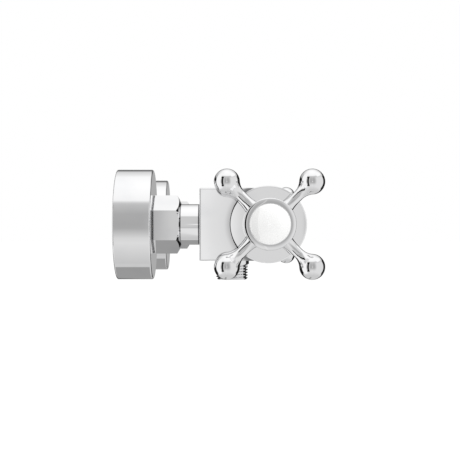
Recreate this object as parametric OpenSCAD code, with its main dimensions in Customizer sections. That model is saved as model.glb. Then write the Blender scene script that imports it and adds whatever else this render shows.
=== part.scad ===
// Exposed two-handle shower mixer for a wall, with cross handles and a threaded bottom outlet.
// Millimetres. The long axis lies along X, the wall is the plane Y = 0 and the mixer stands out to -Y.
// The origin is on the wall, midway between the two wall inlets. The hot side is at -X.

/* [Layout] */
// Distance between the centres of the two wall inlets
inlet_centres = 150; // [146:1:152]

/* [Wall flange] */
// Outer diameter of the flange that covers the wall pipe
flange_d = 65; // [60:1:72]
// Depth of the flange from the wall to its front face
flange_depth = 21.5; // [20:0.5:26]
// Thickness of the flange's spun wall
flange_wall = 1.6; // [1.2:0.1:2]
// Radius of the flange's front edge
flange_front_round = 2; // [1:0.25:3]
// Radius of the edge that meets the wall
flange_rim_round = 0.8; // [0.4:0.1:1]
// Thickness of the threaded collar inside the flange
flange_collar_wall = 2.8; // [2:0.2:4]

/* [Wall plate] */
// Distance between the two screw holes of a wall plate
screw_pitch = 44; // [40:1:46]
// Diameter of each screw hole
screw_hole_d = 4.8; // [4:0.1:5.5]
// Width of the oblong plate, which is also the diameter of its round ends
plate_width = 14; // [11:0.5:16]
// Diameter of the plate's round middle
plate_middle_d = 34; // [32:0.5:38]
// Thickness of the plate
plate_thickness = 3; // [2:0.1:4]
// Diameter of the water pipe that comes out of the wall
pipe_d = 15; // [12:1:15]
// Radial play of that pipe
pipe_play = 0.1; // [0.05:0.01:0.2]
// Outer diameter of the plate's collar
socket_d = 28; // [27:0.5:30]
// Length of that collar in front of the plate
socket_length = 10; // [9:0.5:11]

/* [Wall union] */
// Diameter of the thread that screws into the plate's collar
union_tail_d = 22; // [21:0.5:24]
// Length of that thread
union_tail_length = 4.5; // [4:0.1:5]
// Distance across the flats of the union's hexagon
union_hex_af = 27; // [27:0.5:30]
// Thickness of that hexagon
union_hex_thickness = 4; // [3:0.5:4.5]
// Diameter of the thread that takes the flange and the union nut
union_thread_d = 26.441; // [26.3:0.001:26.9]
// Depth of the pipe's end from the wall
pipe_depth = 20; // [18:0.5:24]
// Bore of the union in front of the pipe
union_bore_d = 13; // [10:0.5:14]
// Outer diameter of the olive that seals the pipe
olive_d = 18.4; // [17.6:0.1:19]
// Length of the olive
olive_length = 5; // [4:0.1:5]

/* [Union nut] */
// Distance across the nut's flats
nut_af = 30; // [29.5:0.5:32]
// Length of the nut
nut_length = 16.4; // [15:0.2:20]
// Gap between the flange and the nut
nut_gap = 0.05; // [0.05:0.05:0.8]
// Turn of the nut as it was left after tightening, in degrees
nut_turn = 2; // [0:1:30]
// Width of the bevel on the nut's flats beside the flange
nut_back_bevel = 1.2; // [0.6:0.1:1.2]
// Length of that bevel
nut_back_length = 0.7; // [0.4:0.1:1]
// Angle of the cone that cuts the nut's corners
nut_chamfer_angle = 32; // [25:1:40]
// Length of the shallow cone in front of the flats
nut_nose_length = 1.15; // [0.8:0.05:1.4]
// Diameter of the nut's round end face
nut_face_d = 25; // [24.8:0.1:27]
// Thickness of the inner land that pulls on the retaining ring
nut_land = 3; // [2:0.5:4]
// Thickness of the sealing washer in the nut
washer_thickness = 2.4; // [2:0.1:3]
// Bore of the sealing washer
washer_bore_d = 16; // [14:0.5:17]

/* [Inlet tail] */
// Outer diameter of the tail
tail_d = 24.1; // [23.5:0.1:24.4]
// Length of the tail that shows between nut and body
tail_reach = 11.55; // [8:0.05:16]
// Width of the bevel where the tail meets the body
tail_bevel = 0.75; // [0.4:0.05:1]
// Length of that bevel
tail_bevel_length = 0.5; // [0.3:0.05:0.8]
// Length of the tail ahead of the retaining ring
tail_lip = 1.5; // [1:0.1:2]
// Wire diameter of the ring that holds the nut on the tail
ring_wire = 1.6; // [1.4:0.1:1.8]
// Depth of the ring's groove
ring_groove = 0.9; // [0.8:0.05:1]
// Part of a full circle that the split ring covers, in degrees
ring_arc = 325; // [300:5:340]
// Diameter of the spigot that screws into the body
spigot_d = 21; // [20.6:0.1:22]
// Length of that spigot
spigot_length = 9.5; // [9:0.5:11]
// Bore of the tail
tail_bore_d = 15.2; // [15:0.1:16]
// Section diameter of the spigot's O-ring
spigot_seal_section = 1.8; // [1.5:0.1:2]

/* [Check valve] */
// Outer diameter of the check valve's cage
cage_d = 15; // [14.6:0.1:15]
// Length of the cage below its flange
cage_length = 15; // [14:0.5:17]
// Wall of the cage
cage_wall = 1.2; // [1:0.1:1.4]
// Diameter of the flange that the tail's mouth holds
cage_flange_d = 17.6; // [17:0.1:18]
// Thickness of that flange
cage_flange_thickness = 1.2; // [1:0.1:1.5]
// Diameter of the hole that the poppet shuts
cage_seat_d = 8.4; // [7:0.1:9]
// Thickness of the plate round that hole
cage_seat_thickness = 1.7; // [1.5:0.1:2]
// Diameter of each water window in the cage's back plate
cage_window_d = 3.4; // [3:0.1:3.6]
// Number of those windows
cage_windows = 6; // [4:1:6]
// Diameter of the poppet's head
poppet_d = 10.4; // [9.6:0.1:10.8]
// Thickness of the poppet's head
poppet_thickness = 1.5; // [1.2:0.1:2]
// Bevel of the head's sealing edge
poppet_bevel = 0.5; // [0.3:0.1:0.7]
// Diameter of the poppet's guide stem
poppet_stem_d = 2.4; // [2:0.1:2.6]
// How far the stem stands out of the cage
poppet_stem_proud = 1; // [0.5:0.1:1.5]
// Wire diameter of the check valve's spring
spring_wire = 0.6; // [0.5:0.05:0.7]
// Mean diameter of the spring
spring_d = 5.2; // [4.6:0.1:6]
// Number of turns in the spring
spring_turns = 5; // [4:1:6]

/* [Body] */
// Distance from each inlet's axis to the body's end face
body_overhang = 36; // [35:0.5:40]
// Height of the body
body_height = 41; // [40:0.5:44]
// Distance from the body's flat back to the handles' axis
body_flat = 38.5; // [37:0.5:44]
// Radius of the body's edges
body_edge = 0.8; // [0.5:0.1:1.2]
// Diameter of the passage from each inlet to its cartridge
passage_d = 12; // [10:0.5:13]
// Diameter of the chamber below each cartridge
chamber_d = 14; // [12:0.5:16]
// How far the chamber runs past the inlet's passage
chamber_run = 1; // [0.5:0.1:2]
// Diameter of the gallery that joins both cartridges to the outlet
gallery_d = 8; // [6:0.5:8]
// Drop from the handles' axis to the gallery
gallery_drop = 13.4; // [13:0.1:14]
// Diameter of the port between each cartridge and the gallery
port_d = 6; // [5:0.5:7]

/* [Outlet] */
// Distance from the body's flat back to the outlet's axis
outlet_from_back = 18.5; // [18:0.25:24]
// Diameter of the plain neck between the body and the thread
outlet_neck_d = 22.6; // [22:0.1:27]
// Length of that neck
outlet_neck = 5.5; // [4:0.1:8]
// Diameter of the outlet's thread
outlet_thread_d = 20.955; // [20.9:0.005:26.44]
// Length of the outlet's thread
outlet_thread_length = 10.1; // [9:0.1:14]
// Bevel at the end of the outlet's thread
outlet_bevel = 1; // [0.6:0.1:1.4]
// Bore of the outlet nipple
outlet_bore_d = 13; // [10:0.5:14]
// Diameter of the shank that screws into the body
outlet_shank_d = 17; // [16.5:0.5:18]
// Length of that shank
outlet_shank_length = 5; // [4.5:0.1:5.5]
// Section diameter of the shank's O-ring
outlet_seal_section = 1.5; // [1.2:0.1:1.6]
// Distance from the body's underside to the O-ring's groove
outlet_seal_depth = 1.25; // [1:0.05:1.5]

/* [End collar] */
// Diameter of the round collar on each end of the body
collar_d = 43.5; // [42:0.5:48]
// Thickness of the collar
collar_thickness = 3; // [2.5:0.1:4]
// Width of the bevel round the collar's face
collar_bevel = 0.75; // [0.5:0.05:1.5]
// Slope of that bevel, in degrees
collar_bevel_angle = 22.5; // [15:0.5:45]

/* [Cartridge] */
// Diameter of the cartridge's thread
cart_thread_d = 20.955; // [20.5:0.005:21.5]
// Length of that thread in the body
cart_thread_length = 11; // [9:0.5:12]
// Depth of the cartridge's seat below the body's end face
cart_depth = 29; // [27:0.5:30]
// Diameter of the cartridge's shell below the thread
cart_shell_d = 18.6; // [18:0.1:19]
// Bore of the shell, which holds the ceramic discs
cart_chamber_d = 14.6; // [14.2:0.1:15]
// Distance across the flats of the cartridge's hexagon
cart_hex_af = 22; // [21.6:0.1:22.4]
// Diameter to which the hexagon's corners are turned
cart_hex_turned_d = 24; // [23.4:0.1:24]
// Thickness of the hexagon
cart_hex_thickness = 4; // [3:0.1:4.5]
// Diameter of the neck above the hexagon
cart_neck_d = 15; // [13:0.5:15.5]
// Length of that neck
cart_neck_length = 3; // [2:0.1:4]
// Diameter of the two side windows
cart_window_d = 5.2; // [4:0.1:5.6]
// Thickness of the rubber seal below the discs
seat_seal_thickness = 2.3; // [2:0.1:2.6]
// Bore of that seal
seat_seal_bore_d = 9; // [8:0.1:10]
// How far the seal stands out of the shell
seat_seal_proud = 0.5; // [0.3:0.1:0.8]
// Diameter of both ceramic discs
disc_d = 14.2; // [13.8:0.1:14.4]
// Thickness of each ceramic disc
disc_thickness = 2.5; // [2:0.1:3]
// Diameter of the two ports through each disc
disc_port_d = 4.6; // [4:0.1:5]
// Distance from the axis to each port
disc_port_radius = 3.9; // [3.6:0.1:4.2]
// Width of the tang that turns the moving disc
tang_width = 3; // [2.5:0.1:3.2]
// Height of that tang
tang_height = 1; // [0.8:0.1:1.2]

/* [Spindle] */
// Diameter of the spindle
spindle_d = 9; // [8.6:0.1:9.4]
// Diameter of the spindle's foot
spindle_foot_d = 13.6; // [13:0.1:14]
// Thickness of the spindle's foot
spindle_foot_thickness = 3; // [2.5:0.1:3.5]
// Width of the waterway on each side of the foot
spindle_foot_width = 6; // [5:0.1:7]
// Tip diameter of the splines that carry the handle
spline_d = 8; // [7.8:0.1:8.4]
// Number of splines
spline_teeth = 20; // [16:1:24]
// Depth of each spline
spline_tooth = 0.4; // [0.3:0.05:0.5]
// Length of the splines
spline_length = 8; // [7:0.5:9]
// Plain length of the spindle between its clip and the splines
spline_run_in = 1; // [0.8:0.1:1.5]
// Section diameter of each spindle O-ring
spindle_seal_section = 1.5; // [1.3:0.1:1.6]
// Distance between the two spindle O-rings
spindle_seal_pitch = 4; // [3:0.5:5]
// Outer diameter of the spindle's retaining clip
clip_d = 12.4; // [11.6:0.1:13]
// Thickness of that clip
clip_thickness = 0.8; // [0.6:0.1:1]

/* [Cross handle] */
// Diameter of the handle's hub
hub_d = 28; // [27.6:0.1:30]
// Gap between the collar and the hub
hub_gap = 0.6; // [0.4:0.1:1.2]
// Height of the hub's front face above the collar
hub_height = 33; // [32:0.1:37]
// Radius of the shallow bead round the cap
hub_rim_round = 4; // [3:0.5:6]
// Slope at which that bead passes into the hub's front edge, in degrees
hub_rim_slope = 24; // [18:1:30]
// Radius of the hub's front edge
hub_front_round = 0.9; // [0.5:0.1:1.4]
// Radius of the hub's rear edge
hub_rear_round = 0.4; // [0.2:0.1:0.6]
// Wall of the hub's hollow skirt
hub_skirt_wall = 1.6; // [1.3:0.05:1.8]
// Radial room between the hub and the cartridge's neck
hub_neck_room = 0.75; // [0.5:0.05:1]
// Height of the arms above the collar
arm_height = 22; // [20:0.1:24]
// Diameter of the ball on each arm
ball_d = 14; // [12:0.1:15]
// Diameter of the circle through the centres of the four balls
ball_circle_d = 65; // [60:0.2:72]
// Diameter of an arm at its waist
arm_waist_d = 5.8; // [5.4:0.1:6.6]
// Diameter of an arm where it leaves the hub
arm_root_d = 7; // [6.6:0.1:7.6]
// Radius of the flare between waist and hub
arm_root_flare = 20; // [12:1:24]
// Radius of the flare between waist and ball
arm_flare = 9; // [4:0.5:10]
// Diameter of the tenon that screws into the hub
tenon_d = 5; // [4:0.1:5.2]
// Length of that tenon
tenon_length = 5.2; // [4:0.1:6]

/* [Cap and screw] */
// Diameter of the porcelain cap
cap_d = 21.9; // [20:0.1:22.4]
// Radial room round the cap
cap_room = 0.15; // [0.05:0.05:0.2]
// Depth of the recess that takes the cap and its carrier
cap_recess_depth = 4.2; // [3.6:0.1:5]
// Thickness of the plastic carrier under the cap
carrier_thickness = 1; // [0.8:0.1:1.4]
// Diameter of the carrier's spigot
carrier_spigot_d = 9.6; // [9:0.1:10]
// Length of the carrier's spigot
carrier_spigot_length = 4; // [3:0.1:4.5]
// Rise of the cap's domed face above the hub
cap_rise = 2.7; // [1:0.1:3]
// How flat the dome is: a higher power keeps a wider flat middle
cap_power = 2; // [2:0.5:5]
// Diameter of the screw that holds the handle
screw_d = 4; // [3:0.5:4.5]
// Length of the screw's shank
screw_length = 12; // [10:0.5:13]
// Diameter of the screw's head
screw_head_d = 7.6; // [7:0.1:8.4]
// Height of the screw's head
screw_head_height = 3.2; // [2.6:0.1:3.6]
// Distance across the screw's hexagon socket
screw_socket_af = 3; // [2.5:0.1:3.5]
// Thickness of the hub's web under the screw's head
web_thickness = 2; // [1.6:0.1:2.6]

/* [Clearances] */
// Radial gap of a screwed joint, drawn without its thread
thread_gap = 0.1; // [0.05:0.01:0.2]
// Radial gap of a turning or sliding fit
running_gap = 0.06; // [0.04:0.01:0.1]
// Gap between two faces that slide or meet
face_gap = 0.05; // [0.02:0.01:0.1]
// Loose gap round a piece that only has to pass
free_gap = 0.25; // [0.2:0.05:0.3]

/* [Hidden] */
$fn = 96;
SIDES = ["hot", "cold"];
ARMS = 4;
ARM_ANGLE = 360 / ARMS;
// How far a cutter or a joined shape runs past a face, and the shorter run for thin places
CUT = 1;
LAP = 0.5;
// Sides of a spring's wire and its steps in one turn
COIL_SIDES = 8;
COIL_STEPS = 16;
// Slope at the inner end of the hub's bead, in degrees
RIM_INNER_SLOPE = 8;
SIDE_PARTS = [
    "wall_plate", "pipe_olive", "wall_union", "wall_flange", "union_nut", "union_washer",
    "inlet_tail", "nut_ring", "tail_seal", "check_cage", "check_poppet", "check_spring",
    "cartridge_body", "seat_seal", "fixed_disc", "moving_disc",
    "spindle", "spindle_seals", "spindle_clip", "end_collar",
    "handle_hub", "handle_arm_1", "handle_arm_2", "handle_arm_3", "handle_arm_4",
    "handle_screw", "cap_carrier", "index_cap"
];

// Stations along an inlet, measured out from the wall
socket_end = plate_thickness + socket_length;
union_tail_start = socket_end - union_tail_length;
union_hex_end = socket_end + union_hex_thickness;
olive_start = union_tail_start - olive_length;
flange_collar_start = union_hex_end + free_gap;
nut_start = flange_depth + nut_gap;
nut_end = nut_start + nut_length;
nut_shoulder = nut_end - nut_land;
ring_station = nut_shoulder - face_gap - ring_wire / 2;
ring_groove_width = ring_wire + 2 * face_gap;
tail_start = ring_station - ring_groove_width / 2 - tail_lip;
washer_start = tail_start - washer_thickness;
body_back = nut_end + tail_reach;
spigot_end = body_back + spigot_length;
spigot_seal_station = spigot_end - spigot_seal_section - spigot_seal_section / 2;
axis_reach = body_back + body_flat;

// Stations of the check valve, from its flange inwards
cage_flange_end = tail_start + cage_flange_thickness;
cage_seat_end = tail_start + cage_seat_thickness;
cage_end = cage_flange_end + cage_length;
cage_plate_start = cage_end - cage_wall;
poppet_start = cage_seat_end + face_gap;
poppet_end = poppet_start + poppet_thickness;
poppet_tip = cage_end + poppet_stem_proud;
spring_start = poppet_end + face_gap;
spring_end = cage_plate_start - face_gap;

// Stations along the handles' axis, measured from the middle of the body
body_end = inlet_centres / 2 + body_overhang;
collar_face = body_end + collar_thickness;
cart_seat = body_end - cart_depth;
fixed_disc_start = cart_seat + seat_seal_thickness;
moving_disc_start = fixed_disc_start + disc_thickness + face_gap;
foot_start = moving_disc_start + disc_thickness + face_gap;
foot_end = foot_start + spindle_foot_thickness;
cart_start = cart_seat + seat_seal_proud;
cart_chamber_end = foot_end + face_gap;
cart_window_station = (moving_disc_start + cart_chamber_end) / 2;
cart_hex_end = collar_face + cart_hex_thickness;
cart_top = cart_hex_end + cart_neck_length;
clip_start = cart_top + face_gap;
clip_end = clip_start + clip_thickness;
spline_start = clip_end + spline_run_in;
spline_end = spline_start + spline_length;
spindle_seal_station = collar_face - spindle_seal_pitch / 2 - spindle_seal_section;
hub_rear = collar_face + hub_gap;
hub_front = collar_face + hub_height;
skirt_end = cart_hex_end + free_gap;
hub_seat = spline_start + face_gap;
web_start = spline_end + free_gap;
web_end = web_start + web_thickness;
cap_floor = hub_front - cap_recess_depth;
cap_start = cap_floor + carrier_thickness;
cap_rim = hub_front - face_gap;
arm_station = collar_face + arm_height;
ball_reach = ball_circle_d / 2;

// Places of the waterways inside the body
outlet_reach = body_back + outlet_from_back;
gallery_run = axis_reach - outlet_reach;
port_angle = atan2(gallery_run, gallery_drop);
port_length = norm([gallery_run, gallery_drop]);
gallery_end = cart_window_station + gallery_d / 2;
chamber_start = inlet_centres / 2 - chamber_d / 2 - chamber_run;
outlet_passage_height = body_height / 2 - gallery_drop + gallery_d / 2;

// Points of an arc about a centre, from one angle to another
function arc(centre, radius, from, to, steps = 6) = [
    for (i = [0:steps])
        let (a = from + (to - from) * i / steps)
            centre + radius * [cos(a), sin(a)]
];

// Solid of revolution about Z from an outline of [radius, height] points
module turned(outline) {
    rotate_extrude() polygon(outline);
}

// Round tube between two heights
module tube(outer_d, bore_d, from, to) {
    turned([[bore_d / 2, from], [outer_d / 2, from], [outer_d / 2, to], [bore_d / 2, to]]);
}

// Hot pieces are the mirror image of the cold ones
module place(side) {
    if (side == "hot") mirror([1, 0, 0]) children();
    else children();
}

// Z runs out from the wall along the cold inlet, and Y points up
module on_inlet_axis() {
    translate([inlet_centres / 2, 0, 0]) rotate([90, 0, 0]) children();
}

// Z runs along the handles' axis towards the cold handle
module on_handle_axis() {
    translate([0, -axis_reach, 0]) rotate([0, 90, 0]) children();
}

// Z runs down from the body's underside along the outlet
module on_outlet_axis() {
    translate([0, -outlet_reach, -body_height / 2]) rotate([180, 0, 0]) children();
}

// Outline that cuts a square edge at the origin down to a radius
module edge_cutter(radius) {
    polygon(concat(
        [[CUT, -radius]],
        arc([-radius, -radius], radius, 0, 90, 4),
        [[-radius, CUT], [CUT, CUT]]
    ));
}

// Body section seen along its length: flat back, half-round front
module body_section() {
    circle(d = body_height);
    translate([-body_height / 2, 0]) square([body_height, body_flat]);
}

// Cutters for the edges of the body's +X end, in the frame of the handles' axis
module body_end_cutters() {
    corner = body_height / 2;
    rotate([0, 0, 180]) rotate_extrude(angle = 180) translate([corner, body_end]) edge_cutter(body_edge);
    for (flip = [0, 1]) mirror([flip, 0, 0])
        translate([corner, body_flat + CUT, body_end]) rotate([90, 0, 0])
            linear_extrude(body_flat + CUT) edge_cutter(body_edge);
    translate([-corner - CUT, body_flat, body_end]) rotate([90, 0, 90])
        linear_extrude(body_height + 2 * CUT) edge_cutter(body_edge);
}

// Cutters for the two long edges of the body's flat back
module body_back_cutters() {
    for (flip = [0, 1]) mirror([flip, 0, 0])
        translate([body_height / 2, body_flat, -body_end - CUT])
            linear_extrude(2 * (body_end + CUT)) edge_cutter(body_edge);
}

module body_shell() {
    on_handle_axis() difference() {
        translate([0, 0, -body_end]) linear_extrude(2 * body_end) body_section();
        body_back_cutters();
        for (flip = [0, 1]) mirror([0, 0, flip]) body_end_cutters();
    }
}

// Cartridge bore, chamber, port to the gallery and inlet bore of the cold side
module side_waterways() {
    on_handle_axis() {
        translate([0, 0, cart_seat]) cylinder(d = cart_thread_d + 2 * thread_gap, h = cart_depth + CUT);
        translate([0, 0, chamber_start]) cylinder(d = chamber_d, h = cart_seat - chamber_start + CUT);
        translate([0, 0, cart_window_station]) rotate([0, 0, port_angle]) rotate([0, 90, 0])
            cylinder(d = port_d, h = port_length);
    }
    on_inlet_axis() {
        translate([0, 0, body_back - CUT])
            cylinder(d = spigot_d + 2 * thread_gap, h = spigot_length + free_gap + CUT);
        translate([0, 0, spigot_end]) cylinder(d = passage_d, h = axis_reach - spigot_end);
    }
}

module mixer_body() color("silver") difference() {
    body_shell();
    for (side = SIDES) place(side) side_waterways();
    translate([-gallery_end, -outlet_reach, -gallery_drop]) rotate([0, 90, 0])
        cylinder(d = gallery_d, h = 2 * gallery_end);
    on_outlet_axis() {
        translate([0, 0, -outlet_shank_length - free_gap])
            cylinder(d = outlet_shank_d + 2 * thread_gap, h = outlet_shank_length + free_gap + CUT);
        translate([0, 0, -outlet_passage_height])
            cylinder(d = outlet_bore_d, h = outlet_passage_height);
    }
}

module outlet_nipple() color("gainsboro") on_outlet_axis() {
    bore = outlet_bore_d / 2;
    shank = outlet_shank_d / 2;
    neck = outlet_neck_d / 2;
    thread = outlet_thread_d / 2;
    tip = outlet_neck + outlet_thread_length;
    groove = shank - outlet_seal_section + running_gap;
    groove_end = -outlet_seal_depth;
    groove_start = groove_end - outlet_seal_section - 2 * face_gap;
    turned([
        [bore, -outlet_shank_length], [shank, -outlet_shank_length],
        [shank, groove_start], [groove, groove_start], [groove, groove_end], [shank, groove_end],
        [shank, face_gap], [neck, face_gap], [neck, outlet_neck], [thread, outlet_neck],
        [thread, tip - outlet_bevel], [thread - outlet_bevel, tip], [bore, tip]
    ]);
}

module outlet_seal() color("dimgray") on_outlet_axis() {
    station = -outlet_seal_depth - face_gap - outlet_seal_section / 2;
    translate([0, 0, station]) rotate_extrude()
        translate([outlet_shank_d / 2 + running_gap - outlet_seal_section / 2, 0])
            circle(d = outlet_seal_section);
}

module wall_flange() color("gainsboro") on_inlet_axis() {
    outer = flange_d / 2;
    inner = outer - flange_wall;
    bore = union_thread_d / 2 + thread_gap;
    collar = bore + flange_collar_wall;
    front = flange_depth;
    turned(concat(
        [[inner, 0]],
        arc([outer - flange_rim_round, flange_rim_round], flange_rim_round, -90, 0, 4),
        arc([outer - flange_front_round, front - flange_front_round], flange_front_round, 0, 90, 6),
        [[bore, front], [bore, flange_collar_start], [collar, flange_collar_start]],
        [[collar, front - flange_wall], [inner - flange_wall, front - flange_wall]],
        [[inner, front - 2 * flange_wall]]
    ));
}

// Flat plate with a round middle and two round ends, which hold the wall screws
module plate_outline() {
    circle(d = plate_middle_d);
    square([plate_width, screw_pitch], center = true);
    for (end = [-1, 1]) translate([0, end * screw_pitch / 2]) circle(d = plate_width);
}

module wall_plate() color("darkgray") on_inlet_axis() {
    pipe = pipe_d / 2 + pipe_play;
    socket = union_tail_d / 2 + thread_gap;
    seat = olive_d / 2 + thread_gap;
    difference() {
        union() {
            linear_extrude(plate_thickness) plate_outline();
            cylinder(d = socket_d, h = socket_end);
        }
        translate([0, 0, -CUT]) cylinder(r = pipe, h = socket_end);
        translate([0, 0, olive_start]) cylinder(r = seat, h = socket_end);
        translate([0, 0, union_tail_start - face_gap]) cylinder(r = socket, h = socket_end);
        for (end = [-1, 1]) translate([0, end * screw_pitch / 2, -CUT])
            cylinder(d = screw_hole_d, h = plate_thickness + 2 * CUT);
    }
}

module pipe_olive() color("goldenrod") on_inlet_axis() {
    bore = pipe_d / 2 + pipe_play;
    outer = olive_d / 2;
    edge = (outer - bore) / 2;
    turned([
        [bore, olive_start], [bore + edge, olive_start], [outer, olive_start + edge],
        [outer, union_tail_start - edge], [bore + edge, union_tail_start], [bore, union_tail_start]
    ]);
}

module wall_union() color("goldenrod") on_inlet_axis() {
    tail = union_tail_d / 2;
    thread = union_thread_d / 2;
    pipe = pipe_d / 2 + pipe_play;
    bore = union_bore_d / 2;
    difference() {
        union() {
            translate([0, 0, union_tail_start]) cylinder(r = tail, h = union_tail_length + CUT);
            translate([0, 0, socket_end])
                cylinder(d = union_hex_af / cos(30), h = union_hex_thickness, $fn = 6);
            translate([0, 0, union_hex_end - CUT])
                cylinder(r = thread, h = washer_start - union_hex_end + CUT);
        }
        turned([
            [0, union_tail_start - CUT], [pipe, union_tail_start - CUT], [pipe, pipe_depth],
            [bore, pipe_depth], [bore, washer_start + CUT], [0, washer_start + CUT]
        ]);
    }
}

module union_nut() color("silver") on_inlet_axis() {
    flat = nut_af / 2;
    corner = flat / cos(30);
    back = (flat - nut_back_bevel) / cos(30);
    nose_start = nut_end - nut_nose_length;
    chamfer = (corner + CUT - flat) * tan(nut_chamfer_angle);
    thread = union_thread_d / 2 + thread_gap;
    land = tail_d / 2 + free_gap;
    difference() {
        intersection() {
            translate([0, 0, nut_start]) rotate([0, 0, 30 - nut_turn]) {
                cylinder(r1 = back, r2 = corner, h = nut_back_length, $fn = 6);
                translate([0, 0, nut_back_length])
                    cylinder(r = corner, h = nut_length - nut_back_length, $fn = 6);
            }
            turned([
                [0, nut_start - CUT], [corner + CUT, nut_start - CUT],
                [corner + CUT, nose_start - chamfer], [flat, nose_start],
                [nut_face_d / 2, nut_end], [0, nut_end]
            ]);
        }
        translate([0, 0, nut_start - CUT]) cylinder(r = thread, h = nut_shoulder - nut_start + CUT);
        translate([0, 0, nut_shoulder - CUT]) cylinder(r = land, h = nut_land + 2 * CUT);
    }
}

module union_washer() color("dimgray") on_inlet_axis() {
    tube(union_thread_d + 2 * thread_gap - 2 * free_gap, washer_bore_d, washer_start, tail_start);
}

module inlet_tail() color("silver") on_inlet_axis() {
    outer = tail_d / 2;
    groove = outer - ring_groove;
    groove_start = ring_station - ring_groove_width / 2;
    groove_end = ring_station + ring_groove_width / 2;
    spigot = spigot_d / 2;
    seal_start = spigot_seal_station - spigot_seal_section / 2 - face_gap;
    seal_end = spigot_seal_station + spigot_seal_section / 2 + face_gap;
    seal_groove = spigot + thread_gap - running_gap - spigot_seal_section;
    mouth = cage_flange_d / 2 + thread_gap;
    mouth_end = cage_flange_end + face_gap;
    bore = tail_bore_d / 2;
    turned([
        [mouth, tail_start], [outer, tail_start],
        [outer, groove_start], [groove, groove_start], [groove, groove_end], [outer, groove_end],
        [outer, body_back - tail_bevel_length], [outer - tail_bevel, body_back], [spigot, body_back],
        [spigot, seal_start], [seal_groove, seal_start], [seal_groove, seal_end], [spigot, seal_end],
        [spigot, spigot_end], [bore, spigot_end],
        [bore, mouth_end], [mouth, mouth_end]
    ]);
}

module nut_ring() color("lightsteelblue") on_inlet_axis() {
    radius = tail_d / 2 - ring_groove + ring_wire / 2 + face_gap;
    translate([0, 0, ring_station]) rotate([0, 0, -ring_arc / 2])
        rotate_extrude(angle = ring_arc) translate([radius, 0]) circle(d = ring_wire);
}

module tail_seal() color("dimgray") on_inlet_axis() {
    radius = spigot_d / 2 + thread_gap - running_gap / 2 - spigot_seal_section / 2;
    translate([0, 0, spigot_seal_station]) rotate_extrude()
        translate([radius, 0]) circle(d = spigot_seal_section - running_gap);
}

module check_cage() color("whitesmoke") on_inlet_axis() {
    outer = cage_d / 2;
    inner = outer - cage_wall;
    guide = poppet_stem_d / 2 + running_gap;
    window_circle = (inner + guide) / 2;
    difference() {
        turned([
            [cage_seat_d / 2, tail_start], [cage_flange_d / 2, tail_start],
            [cage_flange_d / 2, cage_flange_end], [outer, cage_flange_end],
            [outer, cage_end], [guide, cage_end],
            [guide, cage_plate_start], [inner, cage_plate_start],
            [inner, cage_seat_end], [cage_seat_d / 2, cage_seat_end]
        ]);
        for (i = [1:cage_windows]) rotate([0, 0, i * 360 / cage_windows])
            translate([window_circle, 0, cage_plate_start - LAP])
                cylinder(d = cage_window_d, h = cage_wall + 2 * LAP);
    }
}

module check_poppet() color("lightgray") on_inlet_axis() {
    head = poppet_d / 2;
    stem = poppet_stem_d / 2;
    turned([
        [0, poppet_start], [head - poppet_bevel, poppet_start], [head, poppet_start + poppet_bevel],
        [head, poppet_end], [stem, poppet_end], [stem, poppet_tip], [0, poppet_tip]
    ]);
}

// Ring of points round the wire at one place along the coil
function wire_ring(turn, rise, radius, wire) = [
    for (k = [0:COIL_SIDES - 1])
        let (a = 360 * k / COIL_SIDES, out = radius + wire * cos(a))
            [out * cos(360 * turn), out * sin(360 * turn), rise * turn + wire * sin(a)]
];

// Open coil spring about Z as one tube
module coil(turns, radius, wire, length) {
    steps = COIL_STEPS * turns;
    rise = (length - 2 * wire) / turns;
    points = [for (i = [0:steps]) each wire_ring(i / COIL_STEPS, rise, radius, wire)];
    walls = [
        for (i = [0:steps - 1]) for (k = [0:COIL_SIDES - 1])
            let (n = (k + 1) % COIL_SIDES, a = i * COIL_SIDES, b = a + COIL_SIDES)
                each [[a + k, b + k, b + n], [a + k, b + n, a + n]]
    ];
    first = [[for (k = [0:COIL_SIDES - 1]) k]];
    last = [[for (k = [0:COIL_SIDES - 1]) (steps + 1) * COIL_SIDES - 1 - k]];
    translate([0, 0, wire]) polyhedron(points, concat(walls, first, last), convexity = 10);
}

module check_spring() color("lightsteelblue") on_inlet_axis() translate([0, 0, spring_start]) {
    coil(spring_turns, spring_d / 2, spring_wire / 2, spring_end - spring_start);
}

module cartridge_body() color("goldenrod") on_handle_axis() {
    shell = cart_shell_d / 2;
    thread = cart_thread_d / 2;
    neck = cart_neck_d / 2;
    chamber = cart_chamber_d / 2;
    bore = spindle_d / 2 + running_gap;
    difference() {
        union() {
            turned([
                [chamber, cart_start], [shell, cart_start],
                [shell, body_end - cart_thread_length], [thread, body_end - cart_thread_length],
                [thread, cart_hex_end - CUT], [neck, cart_hex_end - CUT],
                [neck, cart_top], [bore, cart_top],
                [bore, cart_chamber_end], [chamber, cart_chamber_end]
            ]);
            intersection() {
                translate([0, 0, collar_face])
                    cylinder(d = cart_hex_af / cos(30), h = cart_hex_thickness, $fn = 6);
                tube(cart_hex_turned_d, 2 * (neck - LAP), collar_face, cart_hex_end);
            }
        }
        translate([0, 0, cart_window_station]) rotate([0, 90, 0])
            cylinder(d = cart_window_d, h = cart_thread_d, center = true);
    }
}

module seat_seal() color("dimgray") on_handle_axis() {
    tube(cart_chamber_d - 2 * thread_gap, seat_seal_bore_d, cart_seat, fixed_disc_start);
}

// Ceramic disc with two ports, turned by an angle from the open place
module ported_disc(start, angle) {
    difference() {
        translate([0, 0, start]) cylinder(d = disc_d, h = disc_thickness);
        for (turn = [0, 180]) rotate([0, 0, angle + turn])
            translate([disc_port_radius, 0, start - CUT])
                cylinder(d = disc_port_d, h = disc_thickness + 2 * CUT);
    }
}

module fixed_disc() color("ivory") on_handle_axis() {
    ported_disc(fixed_disc_start, 0);
}

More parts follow.
